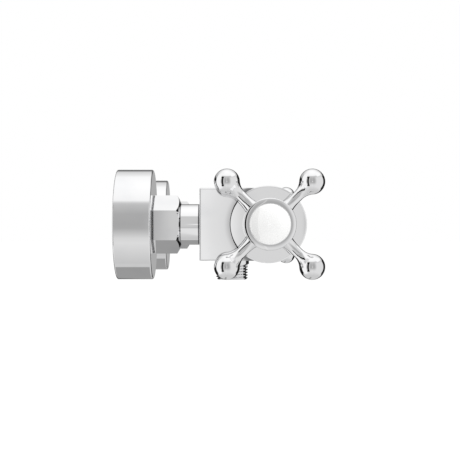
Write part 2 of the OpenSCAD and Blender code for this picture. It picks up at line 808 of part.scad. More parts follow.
// At rest the valve is shut, so the moving ports stand at right angles to the fixed ones
module moving_disc() color("ivory") on_handle_axis() difference() {
    ported_disc(moving_disc_start, 90);
    width = tang_width + 2 * running_gap;
    translate([-disc_d, -width / 2, moving_disc_start + disc_thickness - tang_height - face_gap])
        cube([2 * disc_d, width, tang_height + CUT]);
}

// Outline of a splined shaft
module spline_outline(tip_d) {
    tip = tip_d / 2;
    polygon([
        for (i = [0:2 * spline_teeth - 1])
            let (a = 180 * i / spline_teeth, r = tip - (i % 2) * spline_tooth)
                [r * cos(a), r * sin(a)]
    ]);
}

module spindle() color("goldenrod") on_handle_axis() {
    shaft = spindle_d / 2;
    foot = spindle_foot_d / 2;
    clip_groove = shaft - clip_thickness;
    seal_groove = shaft + running_gap - spindle_seal_section;
    half_groove = spindle_seal_section / 2 + face_gap;
    seal_1 = spindle_seal_station - spindle_seal_pitch / 2;
    seal_2 = spindle_seal_station + spindle_seal_pitch / 2;
    difference() {
        union() {
            intersection() {
                translate([0, 0, foot_start]) cylinder(r = foot, h = spindle_foot_thickness);
                translate([-foot, -spindle_foot_width / 2, foot_start])
                    cube([2 * foot, spindle_foot_width, spindle_foot_thickness]);
            }
            intersection() {
                translate([0, 0, foot_start - tang_height]) cylinder(r = foot, h = tang_height + CUT);
                translate([-foot, -tang_width / 2, foot_start - tang_height])
                    cube([2 * foot, tang_width, tang_height + CUT]);
            }
            turned([
                [0, foot_end - CUT], [shaft, foot_end - CUT],
                [shaft, seal_1 - half_groove], [seal_groove, seal_1 - half_groove],
                [seal_groove, seal_1 + half_groove], [shaft, seal_1 + half_groove],
                [shaft, seal_2 - half_groove], [seal_groove, seal_2 - half_groove],
                [seal_groove, seal_2 + half_groove], [shaft, seal_2 + half_groove],
                [shaft, clip_start - face_gap], [clip_groove, clip_start - face_gap],
                [clip_groove, clip_end + face_gap], [shaft, clip_end + face_gap],
                [shaft, spline_start], [0, spline_start]
            ]);
            translate([0, 0, spline_start - LAP]) linear_extrude(spline_length + LAP)
                spline_outline(spline_d);
        }
        translate([0, 0, web_end - screw_length - CUT])
            cylinder(d = screw_d + 2 * thread_gap, h = screw_length + CUT);
    }
}

module spindle_seals() color("dimgray") on_handle_axis() {
    radius = spindle_d / 2 + running_gap / 2 - spindle_seal_section / 2;
    for (step = [-1, 1])
        translate([0, 0, spindle_seal_station + step * spindle_seal_pitch / 2])
            rotate_extrude() translate([radius, 0]) circle(d = spindle_seal_section - running_gap);
}

module spindle_clip() color("lightsteelblue") on_handle_axis() {
    inner = spindle_d / 2 - clip_thickness + face_gap;
    rotate([0, 0, -ring_arc / 2]) rotate_extrude(angle = ring_arc)
        translate([inner, clip_start]) square([clip_d / 2 - inner, clip_thickness]);
}

module end_collar() color("gainsboro") on_handle_axis() {
    outer = collar_d / 2;
    hole = cart_thread_d / 2 + thread_gap;
    turned([
        [hole, body_end], [outer, body_end],
        [outer, collar_face - collar_bevel * tan(collar_bevel_angle)],
        [outer - collar_bevel, collar_face], [hole, collar_face]
    ]);
}

module handle_hub() color("silver") on_handle_axis() {
    outer = hub_d / 2;
    skirt = outer - hub_skirt_wall;
    neck = cart_neck_d / 2 + hub_neck_room;
    recess = cap_d / 2 + cap_room;
    well = carrier_spigot_d / 2 + thread_gap;
    hole = screw_d / 2 + free_gap;
    meet = 90 - hub_rim_slope;
    edge = outer - hub_front_round;
    rim = [edge + (hub_front_round - hub_rim_round) * cos(meet), hub_front - hub_rim_round];
    edge_height = rim[1] + (hub_rim_round - hub_front_round) * sin(meet);
    difference() {
        turned(concat(
            [[skirt, hub_rear]],
            arc([outer - hub_rear_round, hub_rear + hub_rear_round], hub_rear_round, -90, 0, 3),
            arc([edge, edge_height], hub_front_round, 0, meet, 5),
            arc(rim, hub_rim_round, meet, 90 + RIM_INNER_SLOPE, 8),
            [[recess, hub_front - free_gap], [recess, cap_floor]],
            [[well, cap_floor], [well, web_end], [hole, web_end], [hole, hub_seat]],
            [[neck, hub_seat], [neck, skirt_end], [skirt, skirt_end]]
        ));
        translate([0, 0, hub_seat - LAP]) linear_extrude(web_start - hub_seat + LAP)
            spline_outline(spline_d + 2 * running_gap);
        for (i = [1:ARMS]) arm_direction(i)
            translate([0, 0, outer - tenon_length - free_gap])
                cylinder(d = tenon_d + 2 * thread_gap, h = tenon_length + CUT);
    }
}

// Z runs out along one of the arms, from the handles' axis
module arm_direction(number) {
    translate([0, 0, arm_station]) rotate([0, 0, number * ARM_ANGLE - ARM_ANGLE / 2])
        rotate([0, 90, 0]) children();
}

// Outline of a turned arm: a waist that flares into the hub and into its ball
function arm_outline() =
    let (
        ball = ball_d / 2,
        root = arm_root_d / 2,
        waist = arm_waist_d / 2,
        hub = hub_d / 2,
        root_turn = acos(1 - (root - waist) / arm_root_flare),
        waist_start = hub + arm_root_flare * sin(root_turn),
        rise = waist + arm_flare,
        run = sqrt(pow(ball + arm_flare, 2) - pow(rise, 2)),
        base = arc([waist_start, waist + arm_root_flare], arm_root_flare, -90 - root_turn, -90, 4),
        flare = arc([ball_reach - run, rise], arm_flare, -90, -atan2(rise, run), 8),
        shell = arc([ball_reach, 0], ball, atan2(rise, -run), 0, 16)
    ) concat([[0, hub - CUT], [root, hub - CUT]], [for (p = concat(base, flare, shell)) [p[1], p[0]]]);

module handle_arm(number) color("silver") on_handle_axis() {
    difference() {
        arm_direction(number) turned(arm_outline());
        translate([0, 0, hub_rear]) cylinder(d = hub_d + 2 * face_gap, h = hub_height);
    }
    arm_direction(number) translate([0, 0, hub_d / 2 - tenon_length])
        cylinder(d = tenon_d, h = tenon_length + CUT);
}

module handle_screw() color("lightsteelblue") on_handle_axis() difference() {
    union() {
        translate([0, 0, web_end - screw_length]) cylinder(d = screw_d, h = screw_length + LAP);
        translate([0, 0, web_end]) cylinder(d = screw_head_d, h = screw_head_height);
    }
    translate([0, 0, web_end + screw_head_height / 2])
        cylinder(d = screw_socket_af / cos(30), h = screw_head_height, $fn = 6);
}

module cap_carrier() color("whitesmoke") on_handle_axis() {
    translate([0, 0, cap_floor]) cylinder(d = cap_d - 2 * free_gap, h = carrier_thickness);
    translate([0, 0, cap_floor - carrier_spigot_length])
        cylinder(d = carrier_spigot_d, h = carrier_spigot_length + LAP);
}

module index_cap() color("white") on_handle_axis() {
    rim = cap_d / 2;
    steps = 12;
    turned(concat(
        [[0, cap_start], [rim, cap_start]],
        [for (i = [steps:-1:0])
            let (share = sin(90 * i / steps))
                [rim * share, cap_rim + cap_rise * (1 - pow(share, cap_power))]]
    ));
}

mixer_body();
outlet_nipple();
outlet_seal();

for (side = SIDES) place(side) {
    wall_plate();
    pipe_olive();
    wall_union();
    wall_flange();
    union_nut();
    union_washer();
    inlet_tail();
    nut_ring();
    tail_seal();
    check_cage();
    check_poppet();
    check_spring();
    cartridge_body();
    seat_seal();
    fixed_disc();
    moving_disc();
    spindle();
    spindle_seals();
    spindle_clip();
    end_collar();
    handle_hub();
    for (i = [1:ARMS])
        handle_arm(i);
    handle_screw();
    cap_carrier();
    index_cap();
}
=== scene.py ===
"""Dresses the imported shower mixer: modelled pieces, finishes, studio and camera.

Sizes inside the classes are millimetres, unless they say otherwise. A piece is modelled round its own axis, and
then put in its place in the frame, in metres. The hot side is at -X, the wall is the plane Y = 0, and Z is up.
"""

import logging
import math
from dataclasses import dataclass
from enum import Enum
from typing import Any, Callable, Sequence, Union

import bmesh
import bpy
from mathutils import Matrix, Vector


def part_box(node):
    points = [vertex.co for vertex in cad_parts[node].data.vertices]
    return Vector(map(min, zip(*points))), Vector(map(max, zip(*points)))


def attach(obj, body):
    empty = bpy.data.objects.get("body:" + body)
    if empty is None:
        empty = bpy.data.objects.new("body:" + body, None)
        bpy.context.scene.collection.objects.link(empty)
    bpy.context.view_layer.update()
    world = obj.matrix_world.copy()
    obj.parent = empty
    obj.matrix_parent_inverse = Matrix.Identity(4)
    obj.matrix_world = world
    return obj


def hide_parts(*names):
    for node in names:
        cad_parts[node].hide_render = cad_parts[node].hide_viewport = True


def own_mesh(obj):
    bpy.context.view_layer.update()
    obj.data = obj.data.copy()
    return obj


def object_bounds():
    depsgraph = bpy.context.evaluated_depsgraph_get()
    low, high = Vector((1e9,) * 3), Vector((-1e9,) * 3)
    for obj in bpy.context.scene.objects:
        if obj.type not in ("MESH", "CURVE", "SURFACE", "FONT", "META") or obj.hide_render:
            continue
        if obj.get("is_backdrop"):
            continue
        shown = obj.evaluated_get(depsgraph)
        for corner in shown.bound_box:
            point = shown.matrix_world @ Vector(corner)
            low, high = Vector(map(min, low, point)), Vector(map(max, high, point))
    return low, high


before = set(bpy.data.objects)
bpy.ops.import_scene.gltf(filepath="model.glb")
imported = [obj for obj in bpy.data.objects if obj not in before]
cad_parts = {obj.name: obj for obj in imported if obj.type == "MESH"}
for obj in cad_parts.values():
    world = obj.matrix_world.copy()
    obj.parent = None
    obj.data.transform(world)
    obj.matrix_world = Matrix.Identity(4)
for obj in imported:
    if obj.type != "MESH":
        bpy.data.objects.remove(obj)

LOG = logging.getLogger("mixer")
MM = 0.001  # metres
WELD = 0.001  # how close two points count as one
OVER = 1.0  # how far a cutter stands past what it cuts
FINE, PLAIN = 192, 128  # flats round a large and a small turned piece

Colour = tuple[float, float, float]
Range = tuple[float, float]
Number = Union["Socket", float]
Piece = bpy.types.Object


class Side(Enum):
    """The two ends of the mixer, with the sign of their X."""

    HOT = -1
    COLD = 1

    @property
    def label(self) -> str:
        """The word that starts this side's node names."""
        return self.name.lower()


class Select(Enum):
    """What a selection in edit mode is made of."""

    VERT = "verts"
    EDGE = "edges"
    FACE = "faces"


def shift(x: float, y: float, z: float) -> Matrix:
    """A move."""
    return Matrix.Translation((x, y, z))


def quarter(axis: str, sign: int = 1) -> Matrix:
    """A quarter turn about an axis."""
    return Matrix.Rotation(sign * math.pi / 2, 4, axis)


# Shader graphs --------------------


def operator(operation: str, swapped: bool = False) -> Callable[["Socket", Number], "Socket"]:
    """The method behind a Python operator, which adds a Math node."""
    return lambda self, other: self.math(operation, *((other, self) if swapped else (self, other)))


class Socket:
    """An output of a shader node that can be used in Python expressions."""

    __add__, __radd__ = operator("ADD"), operator("ADD", True)
    __sub__, __rsub__ = operator("SUBTRACT"), operator("SUBTRACT", True)
    __mul__, __rmul__ = operator("MULTIPLY"), operator("MULTIPLY", True)

    def __init__(self, graph: "Graph", output: bpy.types.NodeSocket) -> None:
        """Keeps the graph and the node's output."""
        self.graph = graph
        self.output = output

    def math(self, operation: str, *values: Number) -> "Socket":
        """Adds a Math node with these inputs, in order."""
        return self.graph.add("ShaderNodeMath", {"operation": operation}, dict(enumerate(values)))

    def __neg__(self) -> "Socket":
        """-self."""
        return self * -1.0

    def __abs__(self) -> "Socket":
        """The size of self without its sign."""
        return self.math("ABSOLUTE", self)

    def root(self) -> "Socket":
        """The square root of self."""
        return self.math("SQRT", self)

    def step(self, low: float, high: float) -> "Socket":
        """Rises smoothly from 0 at low to 1 at high, or falls where low is the larger."""
        inputs = {"Value": self, "From Min": low, "From Max": high}
        return self.graph.add("ShaderNodeMapRange", {"interpolation_type": "SMOOTHSTEP"}, inputs)


class Graph:
    """The node tree of a material or of the world, with one method that adds any node."""

    def __init__(self, tree: bpy.types.NodeTree) -> None:
        """Takes a tree and empties it."""
        self.tree = tree
        tree.nodes.clear()

    def add(
        self,
        kind: str,
        settings: dict[str, Any] | None = None,
        inputs: dict[Any, Any] | None = None,
        output: Union[int, str] = 0,
    ) -> Socket:
        """Adds a node.

        Args:
            kind: The node's type.
            settings: Its properties, and "stops" for the stops of a colour ramp. They are set first.
            inputs: Values or links of its sockets, by name or number.
            output: The name or number of the output to return.

        Returns:
            The output, for use in an expression.
        """
        node = self.tree.nodes.new(kind)
        for name, value in (settings or {}).items():
            if name == "stops":
                self._set_stops(node.color_ramp, value)
            else:
                setattr(node, name, value)
        for name, value in (inputs or {}).items():
            self._feed(node.inputs[name], value)
        return Socket(self, node.outputs[output]) if len(node.outputs) else Socket(self, None)

    def _feed(self, socket: bpy.types.NodeSocket, value: Any) -> None:
        """Links or sets one input.

        Args:
            socket: The input.
            value: A Socket to link, a colour or a number.
        """
        if isinstance(value, Socket):
            self.tree.links.new(value.output, socket)
        elif isinstance(value, tuple) and socket.type == "RGBA":
            socket.default_value = (*value, 1.0)
        else:
            socket.default_value = value

    @staticmethod
    def _set_stops(ramp: bpy.types.ColorRamp, stops: Sequence[tuple[float, float]]) -> None:
        """Gives a colour ramp its stops.

        Args:
            ramp: The ramp.
            stops: Pairs of a place between 0 and 1 and a grey level.
        """
        while len(ramp.elements) < len(stops):
            ramp.elements.new(0.5)
        for element, (place, level) in zip(ramp.elements, stops):
            element.position = place
            element.color = (level, level, level, 1.0)

    def place(self) -> Socket:
        """The surface point in the object's own coordinates, in metres."""
        return self.add("ShaderNodeTexCoord", output="Object")

    def split(self, place: Socket) -> tuple[Socket, ...]:
        """The X, Y and Z of a point."""
        return tuple(self.add("ShaderNodeSeparateXYZ", {}, {"Vector": place}, axis) for axis in "XYZ")

    def stretch(self, place: Socket, scale: Colour) -> Socket:
        """Scales a pattern's coordinates unevenly."""
        return self.add("ShaderNodeMapping", {}, {"Vector": place, "Scale": scale})

    def noise(self, place: Socket, scale: float, detail: float = 2.0) -> Socket:
        """A noise between 0 and 1, with scale bumps in a metre and detail octaves."""
        return self.add("ShaderNodeTexNoise", {}, {"Vector": place, "Scale": scale, "Detail": detail})

    def blend(self, share: Number, first: Any, second: Any) -> Socket:
        """Mixes two colours, where share is how much of the second one shows."""
        return self.add("ShaderNodeMix", {"data_type": "RGBA"}, {0: share, 6: first, 7: second}, 2)

    def bump(self, height: Socket, depth: float) -> Socket:
        """Turns a height between 0 and 1 into a normal. The depth is in millimetres."""
        return self.add("ShaderNodeBump", {}, {"Strength": 1.0, "Distance": depth * MM, "Height": height})

    def show(self, shader: Socket, kind: str = "Material") -> None:
        """Ends the graph with a shader's output."""
        self.add(f"ShaderNodeOutput{kind}", {}, {"Surface": shader})

    def surface(self, values: dict[str, Any]) -> None:
        """Ends the graph with a Principled shader that has these inputs."""
        self.show(self.add("ShaderNodeBsdfPrincipled", {}, values))

    def glow(self, colour: Any) -> Socket:
        """A shader that shines with a colour as it is."""
        return self.add("ShaderNodeEmission", {}, {"Color": colour, "Strength": 1.0})

    def seen_directly(self) -> Socket:
        """1 for rays from the camera and for rays that metal or glass sends on, otherwise 0.

        Returns:
            That share.
        """
        camera, glossy, passing = (
            self.add("ShaderNodeLightPath", output=ray)
            for ray in ("Is Camera Ray", "Is Glossy Ray", "Is Transmission Ray")
        )
        return camera.math("MAXIMUM", camera.math("MAXIMUM", camera, glossy), passing)


def new_material(name: str) -> tuple[bpy.types.Material, Graph]:
    """Makes a material.

    Args:
        name: The material's name.

    Returns:
        The material and its empty graph.
    """
    material = bpy.data.materials.new(name)
    material.use_nodes = True
    return material, Graph(material.node_tree)


# Finishes --------------------


@dataclass(frozen=True)
class Finish:
    """A finish with the record's slot that it belongs to."""

    label: str
    slot: str

    def shade(self, graph: Graph) -> None:
        """Fills the material's empty graph."""
        raise NotImplementedError

    def material(self) -> bpy.types.Material:
        """The finish as a material, made once.

        Returns:
            The material.
        """
        found = bpy.data.materials.get(self.label)
        if found is None:
            found, graph = new_material(self.label)
            self.shade(graph)
        return found


@dataclass(frozen=True)
class Chrome(Finish):
    """Bright chrome plate: a mirror with faint smears, hairlines and the slight wave of a polished casting."""

    light: Colour = (0.945, 0.945, 0.95)
    dark: Colour = (0.905, 0.908, 0.918)
    roughness: float = 0.025
    smear: float = 0.035
    smear_scale: float = 55.0
    smear_range: Range = (0.46, 0.72)
    hair: float = 0.0105
    hair_stretch: Colour = (1.0, 14.0, 1.0)
    hair_scale: float = 260.0
    hair_range: Range = (0.55, 0.8)
    wave_scale: float = 130.0
    wave_depth: float = 0.0012

    def shade(self, graph: Graph) -> None:
        """Smears change the gloss and the tone a little, and the wave bends reflections.

        Args:
            graph: The material's empty graph.
        """
        place = graph.place()
        smears = graph.noise(place, self.smear_scale, 3.0).step(*self.smear_range)
        across = graph.stretch(place, self.hair_stretch)
        hairs = graph.noise(across, self.hair_scale, 1.0).step(*self.hair_range)
        graph.surface({
            "Base Color": self.tone(graph, place, graph.blend(smears, self.light, self.dark)),
            "Metallic": 1.0,
            "Roughness": self.roughness + self.smear * smears + self.hair * hairs,
            "Normal": graph.bump(graph.noise(place, self.wave_scale, 1.0), self.wave_depth),
        })

    def tone(self, graph: Graph, place: Socket, plate: Socket) -> Socket:
        """The plate's colour at a place; subclasses lay painted shade over it."""
        return plate


@dataclass(frozen=True)
class BodyChrome(Chrome):
    """The body's chrome, with painted shade on its end faces that darkens towards the collars. Sizes are
    metres.
    """

    # The dark colour that is laid over the plate as painted shade
    film: Colour = (0.1, 0.1, 0.105)
    face: float = 0.1105
    face_fade: float = 0.0003
    axis_y: float = -0.088
    collar: float = 0.02175
    # The painted shade's share, and how far out from the collar's edge it starts and is full
    rings: tuple[tuple[float, Range], ...] = (
        (0.11, (0.0185, 0.008)), (0.06, (0.0095, 0.0)), (0.32, (0.0034, -0.0014)),
    )
    pool: tuple[float, Range] = (0.42, (0.0028, 0.0012))
    pool_height: Range = (0.0157, 0.0183)

    def tone(self, graph: Graph, place: Socket, plate: Socket) -> Socket:
        """Adds the painted shade.

        Args:
            graph: The material's graph.
            place: The surface point.
            plate: The colour of the clean plate.

        Returns:
            The colour with the painted shade, which is darkest where the collar meets the top and bottom edges.
        """
        x, y, z = graph.split(place)
        away = y - self.axis_y
        gap = (away * away + z * z).root() - self.collar
        # Painted shade: rings round the collar, and more where the collar nears the top and bottom edges, on
        # the end faces only
        rings = sum(share * gap.step(*reach) for share, reach in self.rings)
        pool = self.pool[0] * gap.step(*self.pool[1]) * abs(z).step(*self.pool_height)
        ends = abs(x).step(self.face - self.face_fade, self.face)
        return graph.blend((rings + pool) * ends, plate, self.film)


@dataclass(frozen=True)
class JointChrome(Chrome):
    """Chrome with painted shade in its joints, where it meets the next part. The stations are metres out from
    the wall.
    """

    # The dark colour that is laid over the plate as painted shade in the joints
    film: Colour = (0.07, 0.07, 0.075)
    rear: float = 0.0
    rear_share: float = 0.5
    front: float = 1.0
    front_share: float = 0.85
    fade: float = 0.0002

    def tone(self, graph: Graph, place: Socket, plate: Socket) -> Socket:
        """Adds painted shade behind the rear station and in front of the front one.

        Args:
            graph: The material's graph.
            place: The surface point.
            plate: The colour of the clean plate.

        Returns:
            The colour with the painted shade.
        """
        out = -graph.split(place)[1]
        rear = out.step(self.rear + self.fade, self.rear - self.fade)
        front = out.step(self.front - self.fade, self.front + self.fade)
        return graph.blend(self.rear_share * rear + self.front_share * front, plate, self.film)


@dataclass(frozen=True)
class Porcelain(Finish):
    """Glazed white porcelain with a soft ripple in its glaze and a few specks in the body."""

    body: Colour = (0.95, 0.95, 0.945)
    speck: Colour = (0.88, 0.875, 0.86)
    cloud_scale: float = 90.0
    speck_scale: float = 900.0
    speck_range: Range = (0.74, 0.8)
    ripple_scale: float = 260.0
    ripple_depth: float = 0.004

    def shade(self, graph: Graph) -> None:
        """The body is slightly rough, and the glaze over it is a clear coat.

        Args:
            graph: The material's empty graph.
        """
        place = graph.place()
        cloud = graph.noise(place, self.cloud_scale, 3.0)
        specks = graph.noise(place, self.speck_scale, 1.0).step(*self.speck_range)
        tone = graph.blend(0.12 * cloud, self.body, self.speck)
        graph.surface({
            "Base Color": graph.blend(0.05 * specks, tone, self.speck),
            "Roughness": 0.3 + 0.1 * cloud,
            "Coat Weight": 0.85 + 0.15 * cloud,
            "Coat Roughness": 0.02,
            "Coat IOR": 2.2,
            "Normal": graph.bump(graph.noise(place, self.ripple_scale), self.ripple_depth),
        })


@dataclass(frozen=True)
class Turned(Finish):
    """A bare turned metal: fine tool lines, a duller film in patches and small stains."""

    light: Colour
    dark: Colour
    roughness: float = 0.24
    film_scale: float = 70.0
    film_range: Range = (0.35, 0.7)
    stain_scale: float = 420.0
    stain_range: Range = (0.6, 0.75)
    line_stretch: Colour = (1.0, 0.06, 0.06)
    line_scale: float = 2400.0
    line_depth: float = 0.004

    def shade(self, graph: Graph) -> None:
        """Lines run round the pieces' axes as crossed fine noise.

        Args:
            graph: The material's empty graph.
        """
        place = graph.place()
        film = graph.noise(place, self.film_scale, 4.0)
        lines = graph.noise(graph.stretch(place, self.line_stretch), self.line_scale)
        stain = graph.noise(place, self.stain_scale).step(*self.stain_range)
        tone = graph.blend(film.step(*self.film_range), self.light, self.dark)
        graph.surface({
            "Base Color": graph.blend(0.3 * stain, tone, self.dark),
            "Metallic": 1.0,
            "Roughness": self.roughness + 0.16 * film + 0.1 * stain,
            "Normal": graph.bump(lines, self.line_depth),
        })


@dataclass(frozen=True)
class Spangled(Finish):
    """Zinc plated steel with a faint crystal pattern."""

    light: Colour = (0.74, 0.75, 0.77)
    dark: Colour = (0.56, 0.57, 0.6)
    crystal_scale: float = 420.0
    scuff_scale: float = 150.0
    scuff_depth: float = 0.01

    def shade(self, graph: Graph) -> None:
        """Each crystal has its own tone and gloss.

        Args:
            graph: The material's empty graph.
        """
        place = graph.place()
        cells = {"Vector": place, "Scale": self.crystal_scale}
        crystal = graph.add("ShaderNodeTexVoronoi", {}, cells, "Color")
        tone = crystal * 1.0  # a Math node makes the colour a single value
        scuff = graph.noise(place, self.scuff_scale, 4.0)
        graph.surface({
            "Base Color": graph.blend(tone, self.light, self.dark),
            "Metallic": 1.0,
            "Roughness": 0.3 + 0.14 * tone + 0.12 * scuff,
            "Normal": graph.bump(scuff, self.scuff_depth),
        })


@dataclass(frozen=True)
class Moulded(Finish):
    """A moulded rubber or plastic with a fine skin grain and dust in patches."""

    light: Colour
    dark: Colour
    roughness: float
    grain_scale: float = 1800.0
    grain_depth: float = 0.01
    patch_scale: float = 110.0
    patch_range: Range = (0.35, 0.7)

    def shade(self, graph: Graph) -> None:
        """The grain lifts the skin, and the patches change its tone and gloss.

        Args:
            graph: The material's empty graph.
        """
        place = graph.place()
        patch = graph.noise(place, self.patch_scale, 4.0)
        graph.surface({
            "Base Color": graph.blend(patch.step(*self.patch_range), self.light, self.dark),
            "Roughness": self.roughness + 0.12 * patch,
            "Normal": graph.bump(graph.noise(place, self.grain_scale), self.grain_depth),
        })


CHROME = Chrome("bright_chrome", "chrome")
BODY_CHROME = BodyChrome("body_chrome", "chrome")
# Painted shade on the nut's rear bevel against the flange, on its nose against the tail, and on the tail's end
# against the body
NUT_CHROME = JointChrome("nut_chrome", "chrome", rear=0.0221, front=0.0371)
TAIL_CHROME = JointChrome("tail_chrome", "chrome", front=0.0480, front_share=0.95)
PORCELAIN = Porcelain("glazed_porcelain", "porcelain")
BRASS = Turned("turned_brass", "brass", (0.83, 0.66, 0.36), (0.6, 0.44, 0.2))
SPRING = Turned("drawn_spring_wire", "spring_steel", (0.7, 0.7, 0.7), (0.5, 0.49, 0.48))
PLATED = Spangled("zinc_plated_steel", "plated_steel")
RUBBER = Moulded("black_rubber", "rubber", (0.03, 0.03, 0.032), (0.06, 0.058, 0.055), 0.62)
PLASTIC = Moulded("white_valve_plastic", "valve_plastic", (0.78, 0.78, 0.75), (0.7, 0.69, 0.66), 0.38, 900.0)
DISC = Moulded(
    "lapped_disc_ceramic", "disc_ceramic", (0.82, 0.81, 0.77), (0.74, 0.73, 0.7), 0.12, 3200.0, 0.002,
)

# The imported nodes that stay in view, by the ends of their names
NODE_FINISHES = {
    node: finish
    for finish, nodes in {
        PLATED: "wall_plate handle_screw",
        BRASS: "pipe_olive wall_union cartridge_body spindle",
        RUBBER: "union_washer tail_seal seat_seal spindle_seals outlet_seal",
        SPRING: "nut_ring spindle_clip",
        PLASTIC: "check_cage check_poppet cap_carrier",
        DISC: "fixed_disc moving_disc",
    }.items()
    for node in nodes.split()
}


# Modelling --------------------


@dataclass(frozen=True)
class Corner:
    """A corner of a turned outline: its radius, its height along the axis, and the round that breaks it."""

    radius: float
    height: float
    round: float = 0.0


def arc(centre: Corner, radius: float, start: float, end: float, steps: int) -> list[Corner]:
    """Corners along an arc of an outline.

    Args:
        centre: The arc's centre.
        radius: Its radius.
        start: The first angle in degrees, from the direction of growing radius towards growing height.
        end: The last angle.
        steps: The number of straight steps.

    Returns:
        The corners from start to end.
    """
    angles = [math.radians(start + (end - start) * i / steps) for i in range(steps + 1)]
    return [
        Corner(max(0.0, centre.radius + radius * math.cos(a)), centre.height + radius * math.sin(a))
        for a in angles
    ]


class Bench:
    """The modelling operators as one workbench. All of it works in millimetres round the world's Z axis."""

    @staticmethod
    def clear() -> None:
        """Leaves nothing selected."""
        bpy.ops.object.select_all(action="DESELECT")

    @staticmethod
    def edit(piece: Piece) -> None:
        """Starts edit mode on one piece, with nothing selected in it.

        Args:
            piece: The piece.
        """
        Bench.take(piece)
        bpy.ops.object.mode_set(mode="EDIT")
        bpy.ops.mesh.select_mode(type="VERT")
        bpy.ops.mesh.select_all(action="DESELECT")

    @staticmethod
    def take(piece: Piece) -> None:
        """Makes one piece the only selected and active one.

        Args:
            piece: The piece.
        """
        Bench.clear()
        piece.select_set(True)
        bpy.context.view_layer.objects.active = piece

    @staticmethod
    def done() -> None:
        """Ends edit mode."""
        bpy.ops.object.mode_set(mode="OBJECT")

    @staticmethod
    def pick(piece: Piece, what: Select, test: Callable[[Any], bool]) -> None:
        """Selects the elements that pass a test, and nothing else.

        Args:
            piece: The piece in edit mode.
            what: The kind of element.
            test: Says whether an element is wanted.
        """
        bpy.ops.mesh.select_mode(type=what.name)
        bpy.ops.mesh.select_all(action="DESELECT")
        mesh = bmesh.from_edit_mesh(piece.data)
        for element in getattr(mesh, what.value):
            if test(element):
                element.select_set(True)
        mesh.select_flush_mode()
        bmesh.update_edit_mesh(piece.data)

    @staticmethod
    def weld(close: float = WELD) -> None:
        """Joins points of the mesh in edit mode that lie at the same place."""
        bpy.ops.mesh.select_all(action="SELECT")
        bpy.ops.mesh.remove_doubles(threshold=close)

    @staticmethod
    def face_out() -> None:
        """Turns the faces of the mesh in edit mode outwards."""
        bpy.ops.mesh.select_all(action="SELECT")
        bpy.ops.mesh.normals_make_consistent(inside=False)

    @staticmethod
    def outline(name: str, corners: Sequence[Corner], closed: bool) -> Piece:
        """Draws a turned outline by extruding one point from corner to corner, and rounds its corners.

        Args:
            name: The piece's name.
            corners: The corners in order.
            closed: Whether the last corner joins the first.

        Returns:
            The outline as a wire.
        """
        Bench.clear()
        bpy.ops.mesh.primitive_circle_add(vertices=3, radius=1.0)
        piece = bpy.context.object
        piece.name = name
        bpy.ops.object.mode_set(mode="EDIT")
        bpy.ops.mesh.select_mode(type="VERT")
        bpy.ops.mesh.select_all(action="SELECT")
        bpy.ops.mesh.merge(type="CENTER")
        bpy.ops.transform.translate(value=(corners[0].radius, 0.0, corners[0].height))
        for last, corner in zip(corners, corners[1:]):
            step = (corner.radius - last.radius, 0.0, corner.height - last.height)
            bpy.ops.mesh.extrude_vertices_move(TRANSFORM_OT_translate={"value": step})
        if closed:
            ends = [Vector((c.radius, 0.0, c.height)) for c in (corners[0], corners[-1])]
            Bench.pick(piece, Select.VERT, lambda v: any((v.co - end).length < WELD for end in ends))
            bpy.ops.mesh.edge_face_add()
        count = len(corners)
        for i, corner in enumerate(corners):
            if corner.round:
                Bench._round(piece, corners[i - 1], corner, corners[(i + 1) % count])
        return piece

    @staticmethod
    def _round(piece: Piece, before: Corner, corner: Corner, after: Corner) -> None:
        """Rounds one corner of an outline with a vertex bevel.

        Args:
            piece: The outline in edit mode.
            before: The corner before it.
            corner: The corner to round.
            after: The corner after it.
        """
        here = Vector((corner.radius, 0.0, corner.height))
        entry = here - Vector((before.radius, 0.0, before.height))
        leave = Vector((after.radius, 0.0, after.height)) - here
        turn = entry.angle(leave)
        Bench.pick(piece, Select.VERT, lambda v: (v.co - here).length < WELD)
        bpy.ops.mesh.bevel(
            offset_type="OFFSET",
            offset=corner.round * math.tan(turn / 2),
            segments=max(3, round(math.degrees(turn) / 11)),
            affect="VERTICES",
            clamp_overlap=False,
        )

    @staticmethod
    def turn(name: str, corners: Sequence[Corner], steps: int = 160, closed: bool = True) -> Piece:
        """Spins an outline into a turned piece.

        Args:
            name: The piece's name.
            corners: The outline's corners.
            steps: The number of flats round the piece.
            closed: Whether the outline is a loop, as on a piece with a bore.

        Returns:
            The piece, in object mode.
        """
        piece = Bench.outline(name, corners, closed)
        bpy.ops.mesh.select_mode(type="VERT")
        bpy.ops.mesh.select_all(action="SELECT")
        bpy.ops.mesh.spin(
            steps=steps, angle=2 * math.pi, center=(0, 0, 0), axis=(0, 0, 1), use_auto_merge=True
        )
        Bench.weld()
        Bench.face_out()
        Bench.done()
        return piece

    @staticmethod
    def rod(radius: float, start: float, end: float, place: Matrix | None = None, sides: int = 64) -> Piece:
        """A plain rod or prism along Z, for cutting and joining.

        Args:
            radius: Its radius, or its corners' radius.
            start: Its lower end.
            end: Its upper end.
            place: Where to put it.
            sides: The number of its sides.

        Returns:
            The rod, in object mode.
        """
        Bench.clear()
        middle = (0.0, 0.0, (start + end) / 2)
        bpy.ops.mesh.primitive_cylinder_add(vertices=sides, radius=radius, depth=end - start, location=middle)
        rod = bpy.context.object
        bpy.ops.object.transform_apply()
        if place is not None:
            rod.matrix_world = place
            bpy.ops.object.transform_apply()
        return rod

